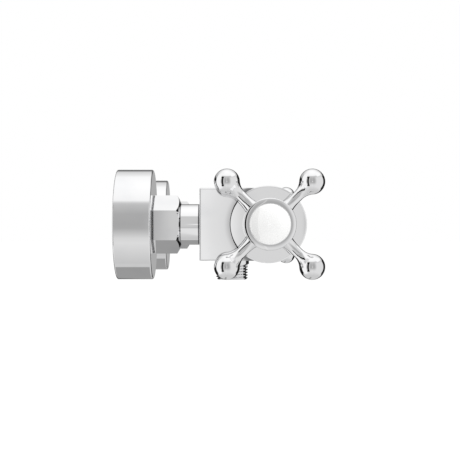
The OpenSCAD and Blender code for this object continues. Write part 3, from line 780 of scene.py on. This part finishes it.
    @staticmethod
    def combine(piece: Piece, tool: Piece, operation: str = "DIFFERENCE") -> None:
        """Cuts, joins or trims a piece with a tool, welds the points that the cut leaves, and removes the tool.

        Args:
            piece: The piece that is kept.
            tool: The other solid.
            operation: DIFFERENCE, UNION or INTERSECT.
        """
        Bench.take(piece)
        cut = piece.modifiers.new("cut", "BOOLEAN")
        cut.operation, cut.solver, cut.object = operation, "EXACT", tool
        bpy.ops.object.modifier_apply(modifier=cut.name)
        bpy.data.objects.remove(tool)
        Bench.edit(piece)
        Bench.weld()
        Bench.done()

    @staticmethod
    def copy(piece: Piece, name: str) -> Piece:
        """A copy with its own mesh.

        Args:
            piece: The piece to copy.
            name: The copy's name.

        Returns:
            The copy.
        """
        twin = piece.copy()
        twin.data = piece.data.copy()
        twin.name = name
        bpy.context.scene.collection.objects.link(twin)
        return twin

    @staticmethod
    def settle(piece: Piece, place: Matrix, smooth: float = 32.0) -> Piece:
        """Puts a piece in its place in the frame, in metres, and shades it.

        Args:
            piece: The piece, in millimetres.
            place: The frame of the axis that it was modelled round, in millimetres.
            smooth: The angle in degrees up to which faces shade as one surface.

        Returns:
            The same piece.
        """
        Bench.take(piece)
        piece.matrix_world = Matrix.Scale(MM, 4) @ place
        bpy.ops.object.transform_apply()
        bpy.ops.object.shade_smooth_by_angle(angle=math.radians(smooth))
        weigh = piece.modifiers.new("weigh", "WEIGHTED_NORMAL")
        weigh.keep_sharp = True
        bpy.ops.object.modifier_apply(modifier=weigh.name)
        return piece


def dress(piece: Piece, finish: Finish, body: str, *nodes: str) -> None:
    """Gives a finished piece its material, its body and the nodes that it stands for.

    Args:
        piece: The piece in its place.
        finish: Its finish.
        body: The body that it rides on.
        nodes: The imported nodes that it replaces.
    """
    piece.data.materials.clear()
    piece.data.materials.append(finish.material())
    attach(piece, body)
    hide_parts(*nodes)
    LOG.info("%s: %d faces, %s, rides on %s", piece.name, len(piece.data.polygons), finish.label, body)


@dataclass(frozen=True)
class Thread:
    """A right-hand screw thread that is cut into a rod. Its groove starts at the height given."""

    diameter: float
    pitch: float
    depth: float
    start: float
    turns: int
    clearance: float = 0.4
    mouth: float = 0.36
    floor: float = 0.08

    def cut(self, piece: Piece) -> None:
        """Cuts the thread's groove. Clearance, mouth and floor are shares of its depth and pitch.

        Args:
            piece: The piece, which has the thread's outer diameter.
        """
        crest, root = self.diameter / 2, self.diameter / 2 - self.depth
        clear = crest + self.clearance * self.depth
        reach = self.mouth * self.pitch * (clear - root) / self.depth
        half = self.floor * self.pitch
        outline = [(root, half), (clear, reach), (clear, -reach), (root, -half)]
        corners = [Corner(radius, self.start + rise) for radius, rise in outline]
        groove = Bench.outline("groove", corners, True)
        Bench.done()
        Bench.take(groove)
        screw = groove.modifiers.new("screw", "SCREW")
        screw.axis = "Z"
        screw.angle = 2 * math.pi
        screw.screw_offset = self.pitch
        screw.iterations = self.turns
        screw.steps = screw.render_steps = 72
        screw.use_merge_vertices = True
        screw.merge_threshold = WELD
        bpy.ops.object.modifier_apply(modifier=screw.name)
        Bench.edit(groove)
        Bench.weld()
        Bench.pick(groove, Select.EDGE, lambda edge: len(edge.link_faces) < 2)
        bpy.ops.mesh.edge_face_add()
        bpy.ops.mesh.select_all(action="DESELECT")
        bpy.ops.mesh.select_non_manifold()
        bpy.ops.mesh.fill()
        Bench.face_out()
        Bench.done()
        Bench.combine(piece, groove)


# Sub-assemblies --------------------


@dataclass(frozen=True)
class WallConnection:
    """Flange, union nut and inlet tail of one side. Heights are measured out from the wall."""

    side: Side
    half_centres: float = 75.0
    flange_radius: float = 32.5
    flange_depth: float = 21.5
    flange_wall: float = 1.6
    front_round: float = 1.1
    rim_round: float = 0.8
    thread_radius: float = 13.32
    collar_radius: float = 16.12
    collar_start: float = 17.25
    nut_start: float = 21.55
    nut_end: float = 37.95
    nut_flats: float = 30.0
    nut_turn: float = 2.0
    nut_rear_rise: float = 0.7
    nut_rear_inset: float = 0.72
    nut_cone_start: float = 35.35
    nut_cone_radius: float = 15.0
    nut_cone_end: float = 36.8
    nut_cone_round: float = 2.5
    nut_face_radius: float = 12.5
    nut_face_fall: float = 0.15
    nut_face_round: float = 0.6
    nut_shoulder: float = 34.95
    nut_mouth: float = 0.3
    nut_smooth_angle: float = 24.0
    land_radius: float = 12.3
    tail_radius: float = 12.05
    tail_start: float = 31.75
    tail_end: float = 49.5
    tail_bevel: float = 0.75
    tail_bevel_length: float = 0.5
    ring_station: float = 34.1
    ring_width: float = 1.7
    ring_depth: float = 0.9
    mouth_radius: float = 8.9
    mouth_end: float = 33.0
    bore_radius: float = 7.6
    spigot_radius: float = 10.5
    spigot_end: float = 59.0
    seal_start: float = 55.35
    seal_end: float = 57.25
    seal_groove: float = 8.74

    def place(self) -> Matrix:
        """The frame whose Z runs out from the wall along this inlet."""
        return shift(self.side.value * self.half_centres, 0, 0) @ quarter("X")

    def flange(self) -> Piece:
        """A spun flange with a rolled front edge and a threaded collar inside.

        Returns:
            The flange.
        """
        outer, wall, front = self.flange_radius, self.flange_wall, self.flange_depth
        inner = outer - wall
        return Bench.turn(f"{self.side.label}_flange", [
            Corner(inner, 0.0),
            Corner(outer, 0.0, self.rim_round),
            Corner(outer, front, self.front_round),
            Corner(self.thread_radius, front, 0.1),
            Corner(self.thread_radius, self.collar_start),
            Corner(self.collar_radius, self.collar_start, 0.3),
            Corner(self.collar_radius, front - wall, 0.6),
            Corner(inner, front - wall, 1.2),
        ], FINE)

    def nut(self) -> Piece:
        """A hexagon nut with a bevelled rear, a turned and rounded outer end, its thread bore and its land.

        Returns:
            The nut.
        """
        corner = self.nut_flats / 2 / math.cos(math.pi / 6)
        turned = Matrix.Rotation(math.radians(-self.side.value * self.nut_turn), 4, "Z")
        rear, below = self.nut_start + self.nut_rear_rise, self.nut_start - OVER
        nut = Bench.rod(corner, rear, self.nut_end, turned, 6)
        nut.name = f"{self.side.label}_nut"
        Bench.edit(nut)
        Bench.pick(nut, Select.FACE, lambda face: face.calc_center_median().z < rear + WELD)
        bpy.ops.mesh.inset(thickness=self.nut_rear_inset)
        bpy.ops.transform.translate(value=(0, 0, -self.nut_rear_rise))
        Bench.done()
        slope = (self.nut_cone_end - self.nut_cone_start) / (corner - self.nut_cone_radius)
        envelope = Bench.turn("envelope", [
            Corner(0.0, below),
            Corner(corner + OVER, below),
            Corner(corner + OVER, self.nut_cone_start - slope),
            Corner(self.nut_cone_radius, self.nut_cone_end, self.nut_cone_round),
            Corner(self.nut_face_radius, self.nut_end - self.nut_face_fall, self.nut_face_round),
            Corner(0.0, self.nut_end),
        ], 240, False)
        Bench.combine(nut, envelope, "INTERSECT")
        core = Bench.turn("core", [
            Corner(0.0, below),
            Corner(self.thread_radius, below),
            Corner(self.thread_radius, self.nut_shoulder),
            Corner(self.land_radius, self.nut_shoulder),
            Corner(self.land_radius, self.nut_end - self.nut_mouth),
            Corner(self.land_radius + self.nut_mouth + OVER, self.nut_end + OVER),
            Corner(0.0, self.nut_end + OVER),
        ], FINE, False)
        Bench.combine(nut, core)
        return nut

    def tail(self) -> Piece:
        """Returns:
            The tail.
        """
        outer, ring = self.tail_radius, self.ring_station
        half = self.ring_width / 2
        groove = outer - self.ring_depth
        return Bench.turn(f"{self.side.label}_tail", [
            Corner(self.mouth_radius, self.tail_start),
            Corner(outer, self.tail_start, 0.3),
            Corner(outer, ring - half),
            Corner(groove, ring - half),
            Corner(groove, ring + half),
            Corner(outer, ring + half),
            Corner(outer, self.tail_end - self.tail_bevel_length),
            Corner(outer - self.tail_bevel, self.tail_end),
            Corner(self.spigot_radius, self.tail_end),
            Corner(self.spigot_radius, self.seal_start),
            Corner(self.seal_groove, self.seal_start),
            Corner(self.seal_groove, self.seal_end),
            Corner(self.spigot_radius, self.seal_end),
            Corner(self.spigot_radius, self.spigot_end, 0.5),
            Corner(self.bore_radius, self.spigot_end),
            Corner(self.bore_radius, self.mouth_end),
            Corner(self.mouth_radius, self.mouth_end),
        ], PLAIN)

    def build(self) -> None:
        """Models and dresses this side's connection. The nut's flats stay flat up to its turned end."""
        label = self.side.label
        dress(Bench.settle(self.flange(), self.place()), CHROME, "mixer", f"{label}_wall_flange")
        nut = Bench.settle(self.nut(), self.place(), self.nut_smooth_angle)
        dress(nut, NUT_CHROME, "mixer", f"{label}_union_nut")
        dress(Bench.settle(self.tail(), self.place()), TAIL_CHROME, "mixer", f"{label}_inlet_tail")


@dataclass(frozen=True)
class Casting:
    """The mixer's body: half-round front, flat back, and the bores for what screws into it."""

    length: float = 222.0
    height: float = 41.0
    back: float = 38.5
    reach: float = 88.0
    edge: float = 0.8
    edge_angle: float = 0.8
    half_centres: float = 75.0
    cartridge_radius: float = 10.5775
    cartridge_depth: float = 29.0
    chamber_radius: float = 7.0
    spigot_radius: float = 10.6
    spigot_depth: float = 9.75
    passage_radius: float = 6.0
    gallery_radius: float = 4.0
    gallery_drop: float = 13.4
    gallery_past_seat: float = 12.0
    outlet_from_back: float = 18.5
    shank_radius: float = 8.6
    shank_depth: float = 5.25
    outlet_radius: float = 6.5
    collar_radius: float = 21.75
    collar_hole: float = 10.5775
    collar_thickness: float = 3.0
    collar_bevel: float = 0.75
    collar_fall: float = 0.31

    def place(self) -> Matrix:
        """The frame on the handles' axis, with X along it and Y towards the wall."""
        return shift(0, -self.reach, 0)

    def shell(self) -> Piece:
        """The outer shape: a cylinder cut in half, drawn back to a flat face, with broken edges.

        Returns:
            The solid casting.
        """
        radius, half = self.height / 2, self.length / 2
        body = Bench.rod(radius, -half, half, quarter("Y"), FINE)
        body.name = "body_casting"
        Bench.edit(body)
        bpy.ops.mesh.select_all(action="SELECT")
        bpy.ops.mesh.bisect(plane_co=(0, 0, 0), plane_no=(0, 1, 0), clear_outer=True)
        Bench.pick(body, Select.EDGE, lambda edge: len(edge.link_faces) < 2)
        bpy.ops.mesh.extrude_region_move(TRANSFORM_OT_translate={"value": (0, self.back, 0)})
        bpy.ops.mesh.edge_face_add()
        Bench.face_out()
        chord = [Vector((end * half, 0, 0)) for end in (-1, 1)]
        Bench.pick(body, Select.EDGE, lambda edge: any(
            all(abs(v.co.x - c.x) < WELD and abs(v.co.y) < WELD for v in edge.verts) for c in chord))
        bpy.ops.mesh.dissolve_edges(use_verts=False)
        Bench.pick(body, Select.EDGE, lambda edge: (
            len(edge.link_faces) == 2 and edge.calc_face_angle() > self.edge_angle))
        bpy.ops.mesh.bevel(offset=self.edge, segments=6, affect="EDGES")
        Bench.done()
        return body

    def bores(self) -> list[Piece]:
        """The cutters for every bore of the body.

        Returns:
            The cutters, round the handles' axis.
        """
        half, cutters = self.length / 2, []
        seat = half - self.cartridge_depth
        chamber = self.half_centres - self.chamber_radius - OVER
        outlet_y = self.back - self.outlet_from_back
        for side in Side:
            along = quarter("Y", side.value)
            cutters.append(Bench.rod(self.cartridge_radius, seat, half + OVER, along, PLAIN))
            cutters.append(Bench.rod(self.chamber_radius, chamber, seat + OVER, along))
            inlet = shift(side.value * self.half_centres, self.back, 0) @ quarter("X")
            cutters.append(Bench.rod(self.spigot_radius, -OVER, self.spigot_depth, inlet, PLAIN))
            cutters.append(Bench.rod(self.passage_radius, 0.0, self.back, inlet))
        gallery = shift(0, outlet_y, -self.gallery_drop) @ quarter("Y")
        end = seat + self.gallery_past_seat
        cutters.append(Bench.rod(self.gallery_radius, -end, end, gallery))
        outlet = shift(0, outlet_y, -self.height / 2)
        cutters.append(Bench.rod(self.shank_radius, -OVER, self.shank_depth, outlet, 96))
        rise = self.height / 2 - self.gallery_drop + self.gallery_radius
        cutters.append(Bench.rod(self.outlet_radius, 0.0, rise, outlet))
        return cutters

    def collar(self, side: Side) -> Piece:
        """The flat round collar on one end of the body.

        Args:
            side: The end that it lies on.

        Returns:
            The collar in its place.
        """
        collar = Bench.turn(f"{side.label}_collar", [
            Corner(self.collar_hole, 0.0),
            Corner(self.collar_radius, 0.0, 0.2),
            Corner(self.collar_radius, self.collar_thickness - self.collar_fall, 0.08),
            Corner(self.collar_radius - self.collar_bevel, self.collar_thickness, 0.3),
            Corner(self.collar_hole, self.collar_thickness, 0.2),
        ], FINE)
        end = shift(side.value * self.length / 2, -self.reach, 0)
        return Bench.settle(collar, end @ quarter("Y", side.value))

    def build(self) -> None:
        """Models and dresses the body and its two collars."""
        body = self.shell()
        for cutter in self.bores():
            Bench.combine(body, cutter)
        Bench.settle(body, self.place())
        dress(body, BODY_CHROME, "mixer", "mixer_body")
        for side in Side:
            dress(self.collar(side), CHROME, "mixer", f"{side.label}_end_collar")


@dataclass(frozen=True)
class Outlet:
    """The threaded nipple under the body. Heights are measured down from the body's underside."""

    reach: float = 68.0
    underside: float = 20.5
    thread_radius: float = 10.4775
    pitch: float = 1.814
    depth: float = 1.162
    groove_lead: float = 0.95
    turns: int = 5
    neck_radius: float = 11.3
    neck: float = 5.5
    thread_length: float = 10.1
    bore_radius: float = 6.5
    shank_radius: float = 8.5
    shank_length: float = 5.0
    groove_radius: float = 7.06
    groove_start: float = -2.85
    groove_end: float = -1.25

    def build(self) -> None:
        """Turns the nipple, cuts its thread and dresses it."""
        tip = self.neck + self.thread_length
        nipple = Bench.turn("outlet_thread", [
            Corner(self.bore_radius, -self.shank_length),
            Corner(self.shank_radius, -self.shank_length, 0.3),
            Corner(self.shank_radius, self.groove_start),
            Corner(self.groove_radius, self.groove_start),
            Corner(self.groove_radius, self.groove_end),
            Corner(self.shank_radius, self.groove_end),
            Corner(self.shank_radius, 0.05),
            Corner(self.neck_radius, 0.05, 0.2),
            Corner(self.neck_radius, self.neck, 0.3),
            Corner(self.thread_radius, self.neck),
            Corner(self.thread_radius, tip - 1.0),
            Corner(self.thread_radius - 1.0, tip),
            Corner(self.bore_radius, tip, 0.3),
        ], PLAIN)
        start = self.neck + self.groove_lead
        Thread(2 * self.thread_radius, self.pitch, self.depth, start, self.turns).cut(nipple)
        down = Matrix.Rotation(math.pi, 4, "X") @ quarter("Z")
        Bench.settle(nipple, shift(0, -self.reach, -self.underside) @ down)
        dress(nipple, CHROME, "mixer", "outlet_nipple")


@dataclass(frozen=True)
class CrossHandle:
    """A hub, four arms with balls and a porcelain cap. Heights are measured out from the collar's face."""

    side: Side
    station: float = 114.0
    reach: float = 88.0
    hub_radius: float = 14.0
    hub_rear: float = 0.6
    hub_front: float = 33.0
    rear_round: float = 0.4
    skirt_radius: float = 12.4
    skirt_end: float = 4.25
    neck_radius: float = 8.25
    seat: float = 8.9
    spline_radius: float = 4.06
    web_start: float = 17.1
    web_end: float = 19.1
    screw_radius: float = 2.25
    well_radius: float = 4.9
    recess_radius: float = 11.1
    recess_floor: float = 28.8
    rim_radius: float = 7.0
    rim_meet: float = 66.0
    rim_end: float = 87.2
    front_round: float = 0.71
    arm_height: float = 22.0
    ball_radius: float = 7.0
    ball_reach: float = 32.5
    root_radius: float = 3.6
    root_depth: float = 1.2
    saddle_gap: float = 0.03
    saddle_half: float = 8.0
    root_flare: float = 20.0
    waist_radius: float = 2.9
    flare: float = 9.0
    tenon_radius: float = 2.5
    tenon_length: float = 5.2
    hole_gap: float = 0.1
    hole_floor: float = 0.25
    cap_radius: float = 10.75
    cap_start: float = 29.8
    cap_rise: float = 2.7
    cap_power: float = 2.0
    cap_fall: float = 0.05
    cap_steps: int = 40
    cap_smooth_angle: float = 60.0

    def place(self) -> Matrix:
        """The frame whose Z runs outwards along the handle's axis, from the collar's face."""
        return shift(self.side.value * self.station, -self.reach, 0) @ quarter("Y", self.side.value)

    def hub(self) -> Piece:
        """The hollow hub, with a shallow bead round the cap and four blind holes for the arms.

        Returns:
            The hub.
        """
        meet = math.radians(self.rim_meet)
        apart = self.rim_radius - self.front_round
        low = self.hub_front - self.rim_radius
        edge = Corner(self.hub_radius - self.front_round, low + apart * math.sin(meet))
        rim = Corner(edge.radius - apart * math.cos(meet), low)
        corners = [
            Corner(self.skirt_radius, self.hub_rear),
            Corner(self.hub_radius, self.hub_rear, self.rear_round),
            *arc(edge, self.front_round, 0.0, self.rim_meet, 10),
            *arc(rim, self.rim_radius, self.rim_meet, self.rim_end, 12)[1:],
            Corner(self.recess_radius, self.hub_front - 0.25),
            Corner(self.recess_radius, self.recess_floor),
            Corner(self.well_radius, self.recess_floor),
            Corner(self.well_radius, self.web_end),
            Corner(self.screw_radius, self.web_end),
            Corner(self.screw_radius, self.web_start),
            Corner(self.spline_radius, self.web_start),
            Corner(self.spline_radius, self.seat),
            Corner(self.neck_radius, self.seat),
            Corner(self.neck_radius, self.skirt_end),
            Corner(self.skirt_radius, self.skirt_end),
        ]
        hub = Bench.turn(f"{self.side.label}_hub", corners, FINE)
        radius = self.tenon_radius + self.hole_gap
        depth = self.hub_radius - self.tenon_length - self.hole_floor
        for number in range(4):
            turn = Matrix.Rotation(math.radians(45 + 90 * number), 4, "Z")
            spoke = shift(0, 0, self.arm_height) @ turn @ quarter("Y")
            Bench.combine(hub, Bench.rod(radius, depth, self.hub_radius + OVER, spoke, 48))
        return hub

    def arm(self) -> Piece:
        """One arm along Z, waisted between hub and ball, with a saddle that fits the hub and a tenon.

        Returns:
            The arm.
        """
        ball, flare, waist = self.ball_radius, self.flare, self.waist_radius
        spread = math.degrees(math.acos(1 - (self.root_radius - waist) / self.root_flare))
        start = self.hub_radius + self.root_flare * math.sin(math.radians(spread))
        rise = waist + flare
        run = math.sqrt((ball + flare) ** 2 - rise**2)
        meet = math.degrees(math.atan2(rise, run))
        corners = [
            Corner(0.0, self.hub_radius - self.root_depth),
            Corner(self.root_radius, self.hub_radius - self.root_depth),
            *arc(Corner(waist + self.root_flare, start), self.root_flare, 180.0 + spread, 180.0, 10),
            *arc(Corner(rise, self.ball_reach - run), flare, 180.0, 90.0 + meet, 14),
            *arc(Corner(0.0, self.ball_reach), ball, meet - 90.0, 90.0, 40)[1:],
        ]
        arm = Bench.turn("arm", corners, 96, False)
        radius, half = self.hub_radius + self.saddle_gap, self.saddle_half
        Bench.combine(arm, Bench.rod(radius, -half, half, quarter("Y"), FINE))
        inner = self.hub_radius - self.tenon_length
        tenon = Bench.rod(self.tenon_radius, inner, self.hub_radius + OVER, None, 48)
        Bench.combine(arm, tenon, "UNION")
        return arm

    def spoke(self, node: str) -> Matrix:
        """The frame of one arm: Z along the arm, X along the handle's axis.

        Args:
            node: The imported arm, which says where this arm points.

        Returns:
            The frame in millimetres.
        """
        low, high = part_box(node)
        centre = Vector((self.side.value * (self.station + self.arm_height), -self.reach, 0))
        out = (low + high) / 2 / MM - centre
        out.x = 0.0
        out.normalize()
        along = Vector((1.0, 0.0, 0.0))
        turn = Matrix((along, out.cross(along), out)).transposed().to_4x4()
        return Matrix.Translation(centre) @ turn

    def cap(self) -> Piece:
        """The domed porcelain cap, whose top stays almost flat and falls towards its rim.

        Returns:
            The cap.
        """
        rim, top, steps = self.cap_radius, self.hub_front - self.cap_fall, self.cap_steps
        shares = [math.sin(math.pi / 2 * i / steps) for i in range(steps, -1, -1)]
        dome = [Corner(rim * s, top + self.cap_rise * (1 - s**self.cap_power)) for s in shares]
        corners = [Corner(0.0, self.cap_start), Corner(rim, self.cap_start), *dome]
        return Bench.turn(f"{self.side.label}_cap", corners, 160, False)

    def build(self) -> None:
        """Models and dresses the handle."""
        body = f"{self.side.label}_handle"
        dress(Bench.settle(self.hub(), self.place()), CHROME, body, f"{self.side.label}_handle_hub")
        master = self.arm()
        for number in range(1, 5):
            node = f"{self.side.label}_handle_arm_{number}"
            arm = Bench.copy(master, f"{self.side.label}_arm_{number}")
            dress(Bench.settle(arm, self.spoke(node)), CHROME, body, node)
        bpy.data.objects.remove(master)
        cap = Bench.settle(self.cap(), self.place(), self.cap_smooth_angle)
        dress(cap, PORCELAIN, body, f"{self.side.label}_index_cap")


@dataclass(frozen=True)
class CheckSpring:
    """The spring of one check valve. Its front end stands in the cage and its rear end on the poppet."""

    side: Side
    lift: float = 0.0025
    smooth_angle: float = 60.0

    def build(self) -> None:
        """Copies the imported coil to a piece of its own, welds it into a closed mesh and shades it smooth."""
        node = f"{self.side.label}_check_spring"
        coil = bpy.data.objects.new(f"{node}_coil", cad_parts[node].data.copy())
        bpy.context.scene.collection.objects.link(coil)
        Bench.edit(coil)
        Bench.weld(WELD * MM)
        Bench.done()
        bpy.ops.mesh.customdata_custom_splitnormals_clear()
        bpy.ops.object.shade_smooth_by_angle(angle=math.radians(self.smooth_angle))
        dress(coil, SPRING, "mixer", node)
        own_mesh(coil)


# Studio --------------------


@dataclass(frozen=True)
class Panel:
    """A panel of the light tent, by its place as seen from the mixer.

    Turns are degrees round the vertical from the direction of the hot end, positive towards the wall. Low and
    high are degrees above the horizon. The level is that of the panel's light. Its edges fade over twice
    soft_turn at the sides, and twice soft_rise at the top and bottom.
    """

    turn: float
    half_width: float
    low: float
    high: float
    level: float
    soft_turn: float
    soft_rise: float

    def over(self, behind: Socket, turn: Socket, rise: Socket) -> Socket:
        """Lays the panel over what is behind it.

        Args:
            behind: The level without the panel.
            turn: The point's turn in degrees.
            rise: The point's rise in degrees.

        Returns:
            The level with the panel.
        """
        edge, soft, fade = self.half_width, self.soft_turn, self.soft_rise
        beside = abs(turn - self.turn).step(edge + soft, edge - soft)
        above = rise.step(self.low - fade, self.low + fade)
        below = rise.step(self.high + fade, self.high - fade)
        return behind + beside * above * below * (self.level - behind)


@dataclass(frozen=True)
class Studio:
    """Camera, light tent, lamps and floor."""

    camera_at: tuple[float, float, float] = (-0.721, -0.0667, -0.0016)
    camera_shift: float = -0.0061
    lens: float = 85.0
    sensor: float = 36.0
    tent_at: tuple[float, float, float] = (-0.06, -0.06, 0.0)
    tent_radius: float = 2.5
    floor_drop: float = 0.25
    floor_size: float = 40.0
    floor_tone: Colour = (0.8, 0.8, 0.8)
    floor_lift: Colour = (0.4, 0.4, 0.4)
    fill: Colour = (0.78, 0.78, 0.78)
    lamps_aim: Colour = (0.0, -0.06, 0.0)
    panels: tuple[Panel, ...] = (
        Panel(82.0, 27.0, -50.0, 75.0, 0.97, 3.0, 8.0),
        Panel(-76.0, 48.0, -48.0, 36.0, 0.77, 14.0, 10.0),
        Panel(29.0, 8.0, -30.0, 36.0, 0.56, 4.0, 3.0),
        Panel(3.0, 1.5, -14.0, 42.0, 0.62, 1.1, 3.0),
        Panel(3.0, 1.5, -80.0, -22.0, 0.8, 1.1, 4.0),
        Panel(-84.0, 36.0, 38.0, 62.0, 1.03, 8.0, 4.0),
        Panel(-2.7, 2.4, -2.7, 3.2, 0.7, 0.3, 0.3),
        Panel(0.95, 1.5, -2.7, 3.2, 0.85, 0.45, 0.3),
        Panel(39.0, 7.7, -38.0, 37.0, 0.012, 1.2, 2.0),
        Panel(41.5, 12.5, -40.5, -28.0, 0.01, 1.5, 2.0),
        Panel(41.5, 12.5, 27.0, 39.5, 0.01, 1.5, 2.0),
        Panel(139.5, 33.0, -36.0, 16.0, 0.012, 3.0, 3.0),
        Panel(137.0, 22.0, 20.0, 37.0, 0.5, 5.0, 3.0),
        Panel(-138.5, 29.0, -34.0, 27.0, 0.015, 4.0, 3.0),
        Panel(174.0, 8.0, -9.0, 9.0, 0.42, 3.0, 3.0),
        Panel(-174.0, 8.0, -9.0, 9.0, 0.42, 3.0, 3.0),
    )
    # A dark slot low at the far end: its level, and where it fades by Y, by X and by rise
    slot_level: float = 0.33
    slot_y: tuple[Range, Range] = ((0.16, 0.14), (0.02, 0.026))
    slot_x: Range = (0.13, 0.19)
    slot_rise: Range = (-24.0, -29.0)
    # The tent's level by rise, at the near and at the far end, and where the far one takes over by X
    near: tuple[Range, ...] = (
        (-90, 0.57), (-62, 0.66), (-38, 0.75), (-28, 0.70), (-8, 0.42), (0, 0.405),
        (21, 0.43), (40, 0.55), (44, 0.62), (50, 0.97), (64, 1.02), (90, 1.08),
    )
    far: tuple[Range, ...] = (
        (-90, 0.62), (-31, 0.6), (-24, 0.4), (-14, 0.22), (0, 0.2), (20, 0.16), (27, 0.18),
        (32, 0.42), (38, 0.69), (50, 0.8), (56, 0.88), (63, 1.0), (90, 1.08),
    )
    takeover: Range = (-0.05, 0.01)

    def camera(self) -> None:
        """Puts the camera at the hot end, looking along the mixer."""
        data = bpy.data.cameras.new("camera")
        data.lens, data.sensor_width = self.lens, self.sensor
        data.shift_y = self.camera_shift
        data.clip_start = 0.01
        camera = bpy.data.objects.new("camera", data)
        camera.location = self.camera_at
        camera.rotation_euler = (math.pi / 2, 0.0, -math.pi / 2)
        bpy.context.scene.collection.objects.link(camera)
        bpy.context.scene.camera = camera

    @staticmethod
    def _profile(graph: Graph, rise: Socket, stops: Sequence[Range]) -> Socket:
        """The tent's level by rise alone. Each stop is a rise in degrees and a level."""
        places = [((degrees + 90.0) / 180.0, level) for degrees, level in stops]
        return graph.add("ShaderNodeValToRGB", {"stops": places}, {"Fac": (rise + 90.0) * (1.0 / 180.0)})

    def tent(self) -> None:
        """A light tent that only reflections see: a bright roof, grey front, pale sides and dark gaps."""
        Bench.clear()
        bpy.ops.mesh.primitive_uv_sphere_add(segments=64, ring_count=32, radius=self.tent_radius)
        tent = bpy.context.object
        tent.name = "light_tent"
        tent.location = self.tent_at
        tent.visible_camera = tent.visible_diffuse = tent.visible_shadow = False
        tent.visible_volume_scatter = False
        material, graph = new_material("tent_cloth")
        material.cycles.emission_sampling = "NONE"
        way = graph.add("ShaderNodeVectorMath", {"operation": "NORMALIZE"}, {0: graph.place()})
        x, y, z = graph.split(way)
        turn = y.math("ARCTAN2", y, -x) * math.degrees(1.0)
        rise = z.math("ARCSINE", z) * math.degrees(1.0)
        near, far = self._profile(graph, rise, self.near), self._profile(graph, rise, self.far)
        level = near + x.step(*self.takeover) * (far - near)
        for panel in self.panels:
            level = panel.over(level, turn, rise)
        across = y.step(*self.slot_y[0]) * y.step(*self.slot_y[1])
        slot = across * x.step(*self.slot_x) * rise.step(*self.slot_rise)
        graph.show(graph.glow(level + slot * (self.slot_level - level)))
        tent.data.materials.append(material)
        tent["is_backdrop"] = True

    def world(self) -> None:
        """A white surround for the camera and for metal, and a soft fill for everything else."""
        world = bpy.data.worlds.new("studio")
        world.use_nodes = True
        graph = Graph(world.node_tree)
        sky = graph.blend(graph.seen_directly(), self.fill, (1.0, 1.0, 1.0))
        graph.show(graph.add("ShaderNodeBackground", {}, {"Color": sky, "Strength": 1.0}), "World")
        bpy.context.scene.world = world

    def floor(self) -> None:
        """A plain pale floor under the mixer, which looks white and keeps the shadow."""
        Bench.clear()
        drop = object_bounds()[0].z - self.floor_drop
        bpy.ops.mesh.primitive_plane_add(size=self.floor_size, location=(0, 0, drop))
        floor = bpy.context.object
        floor.name = "floor"
        floor.visible_glossy = False
        material, graph = new_material("pale_floor")
        paint = graph.add("ShaderNodeBsdfDiffuse", {}, {"Color": self.floor_tone})
        lift = graph.glow(graph.blend(graph.seen_directly(), (0.0, 0.0, 0.0), self.floor_lift))
        graph.show(graph.add("ShaderNodeAddShader", {}, {0: paint, 1: lift}))
        floor.data.materials.append(material)
        floor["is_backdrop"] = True

    def lamp(self, name: str, at: tuple[float, float, float], size: float, power: float) -> None:
        """A square soft lamp that shines at the mixer.

        Args:
            name: The lamp's name.
            at: Its place in metres.
            size: The length of its sides.
            power: Its power in watts.
        """
        data = bpy.data.lights.new(name, "AREA")
        data.size, data.energy = size, power
        lamp = bpy.data.objects.new(name, data)
        lamp.location = at
        lamp.rotation_euler = (Vector(self.lamps_aim) - Vector(at)).to_track_quat("-Z", "Y").to_euler()
        lamp.visible_glossy = False
        bpy.context.scene.collection.objects.link(lamp)

    def build(self) -> None:
        """Sets the stage."""
        self.camera()
        self.tent()
        self.world()
        self.floor()
        self.lamp("roof_lamp", (-0.3, -0.4, 1.4), 1.2, 9.0)
        self.lamp("front_lamp", (-1.3, -0.7, 0.5), 0.9, 5.0)
        bpy.context.scene.view_settings.view_transform = "Standard"


def dress_nodes() -> None:
    """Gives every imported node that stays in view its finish."""
    for name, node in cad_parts.items():
        if node.hide_render:
            continue
        finish = NODE_FINISHES[name.removeprefix("hot_").removeprefix("cold_")]
        for slot in node.material_slots:
            slot.material = finish.material()
        if not node.material_slots:
            raise ValueError(f"{name} has no material slot")
        LOG.info("%s: packed node, %s", name, finish.label)


def main() -> None:
    """Builds every sub-assembly in order, then the studio."""
    logging.basicConfig(level=logging.INFO, format="%(name)s: %(message)s")
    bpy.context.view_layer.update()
    for side in Side:
        WallConnection(side).build()
    Casting().build()
    Outlet().build()
    for side in Side:
        CrossHandle(side).build()
    for side in Side:
        CheckSpring(side).build()
    dress_nodes()
    Studio().build()


if __name__ == "__main__":
    main()
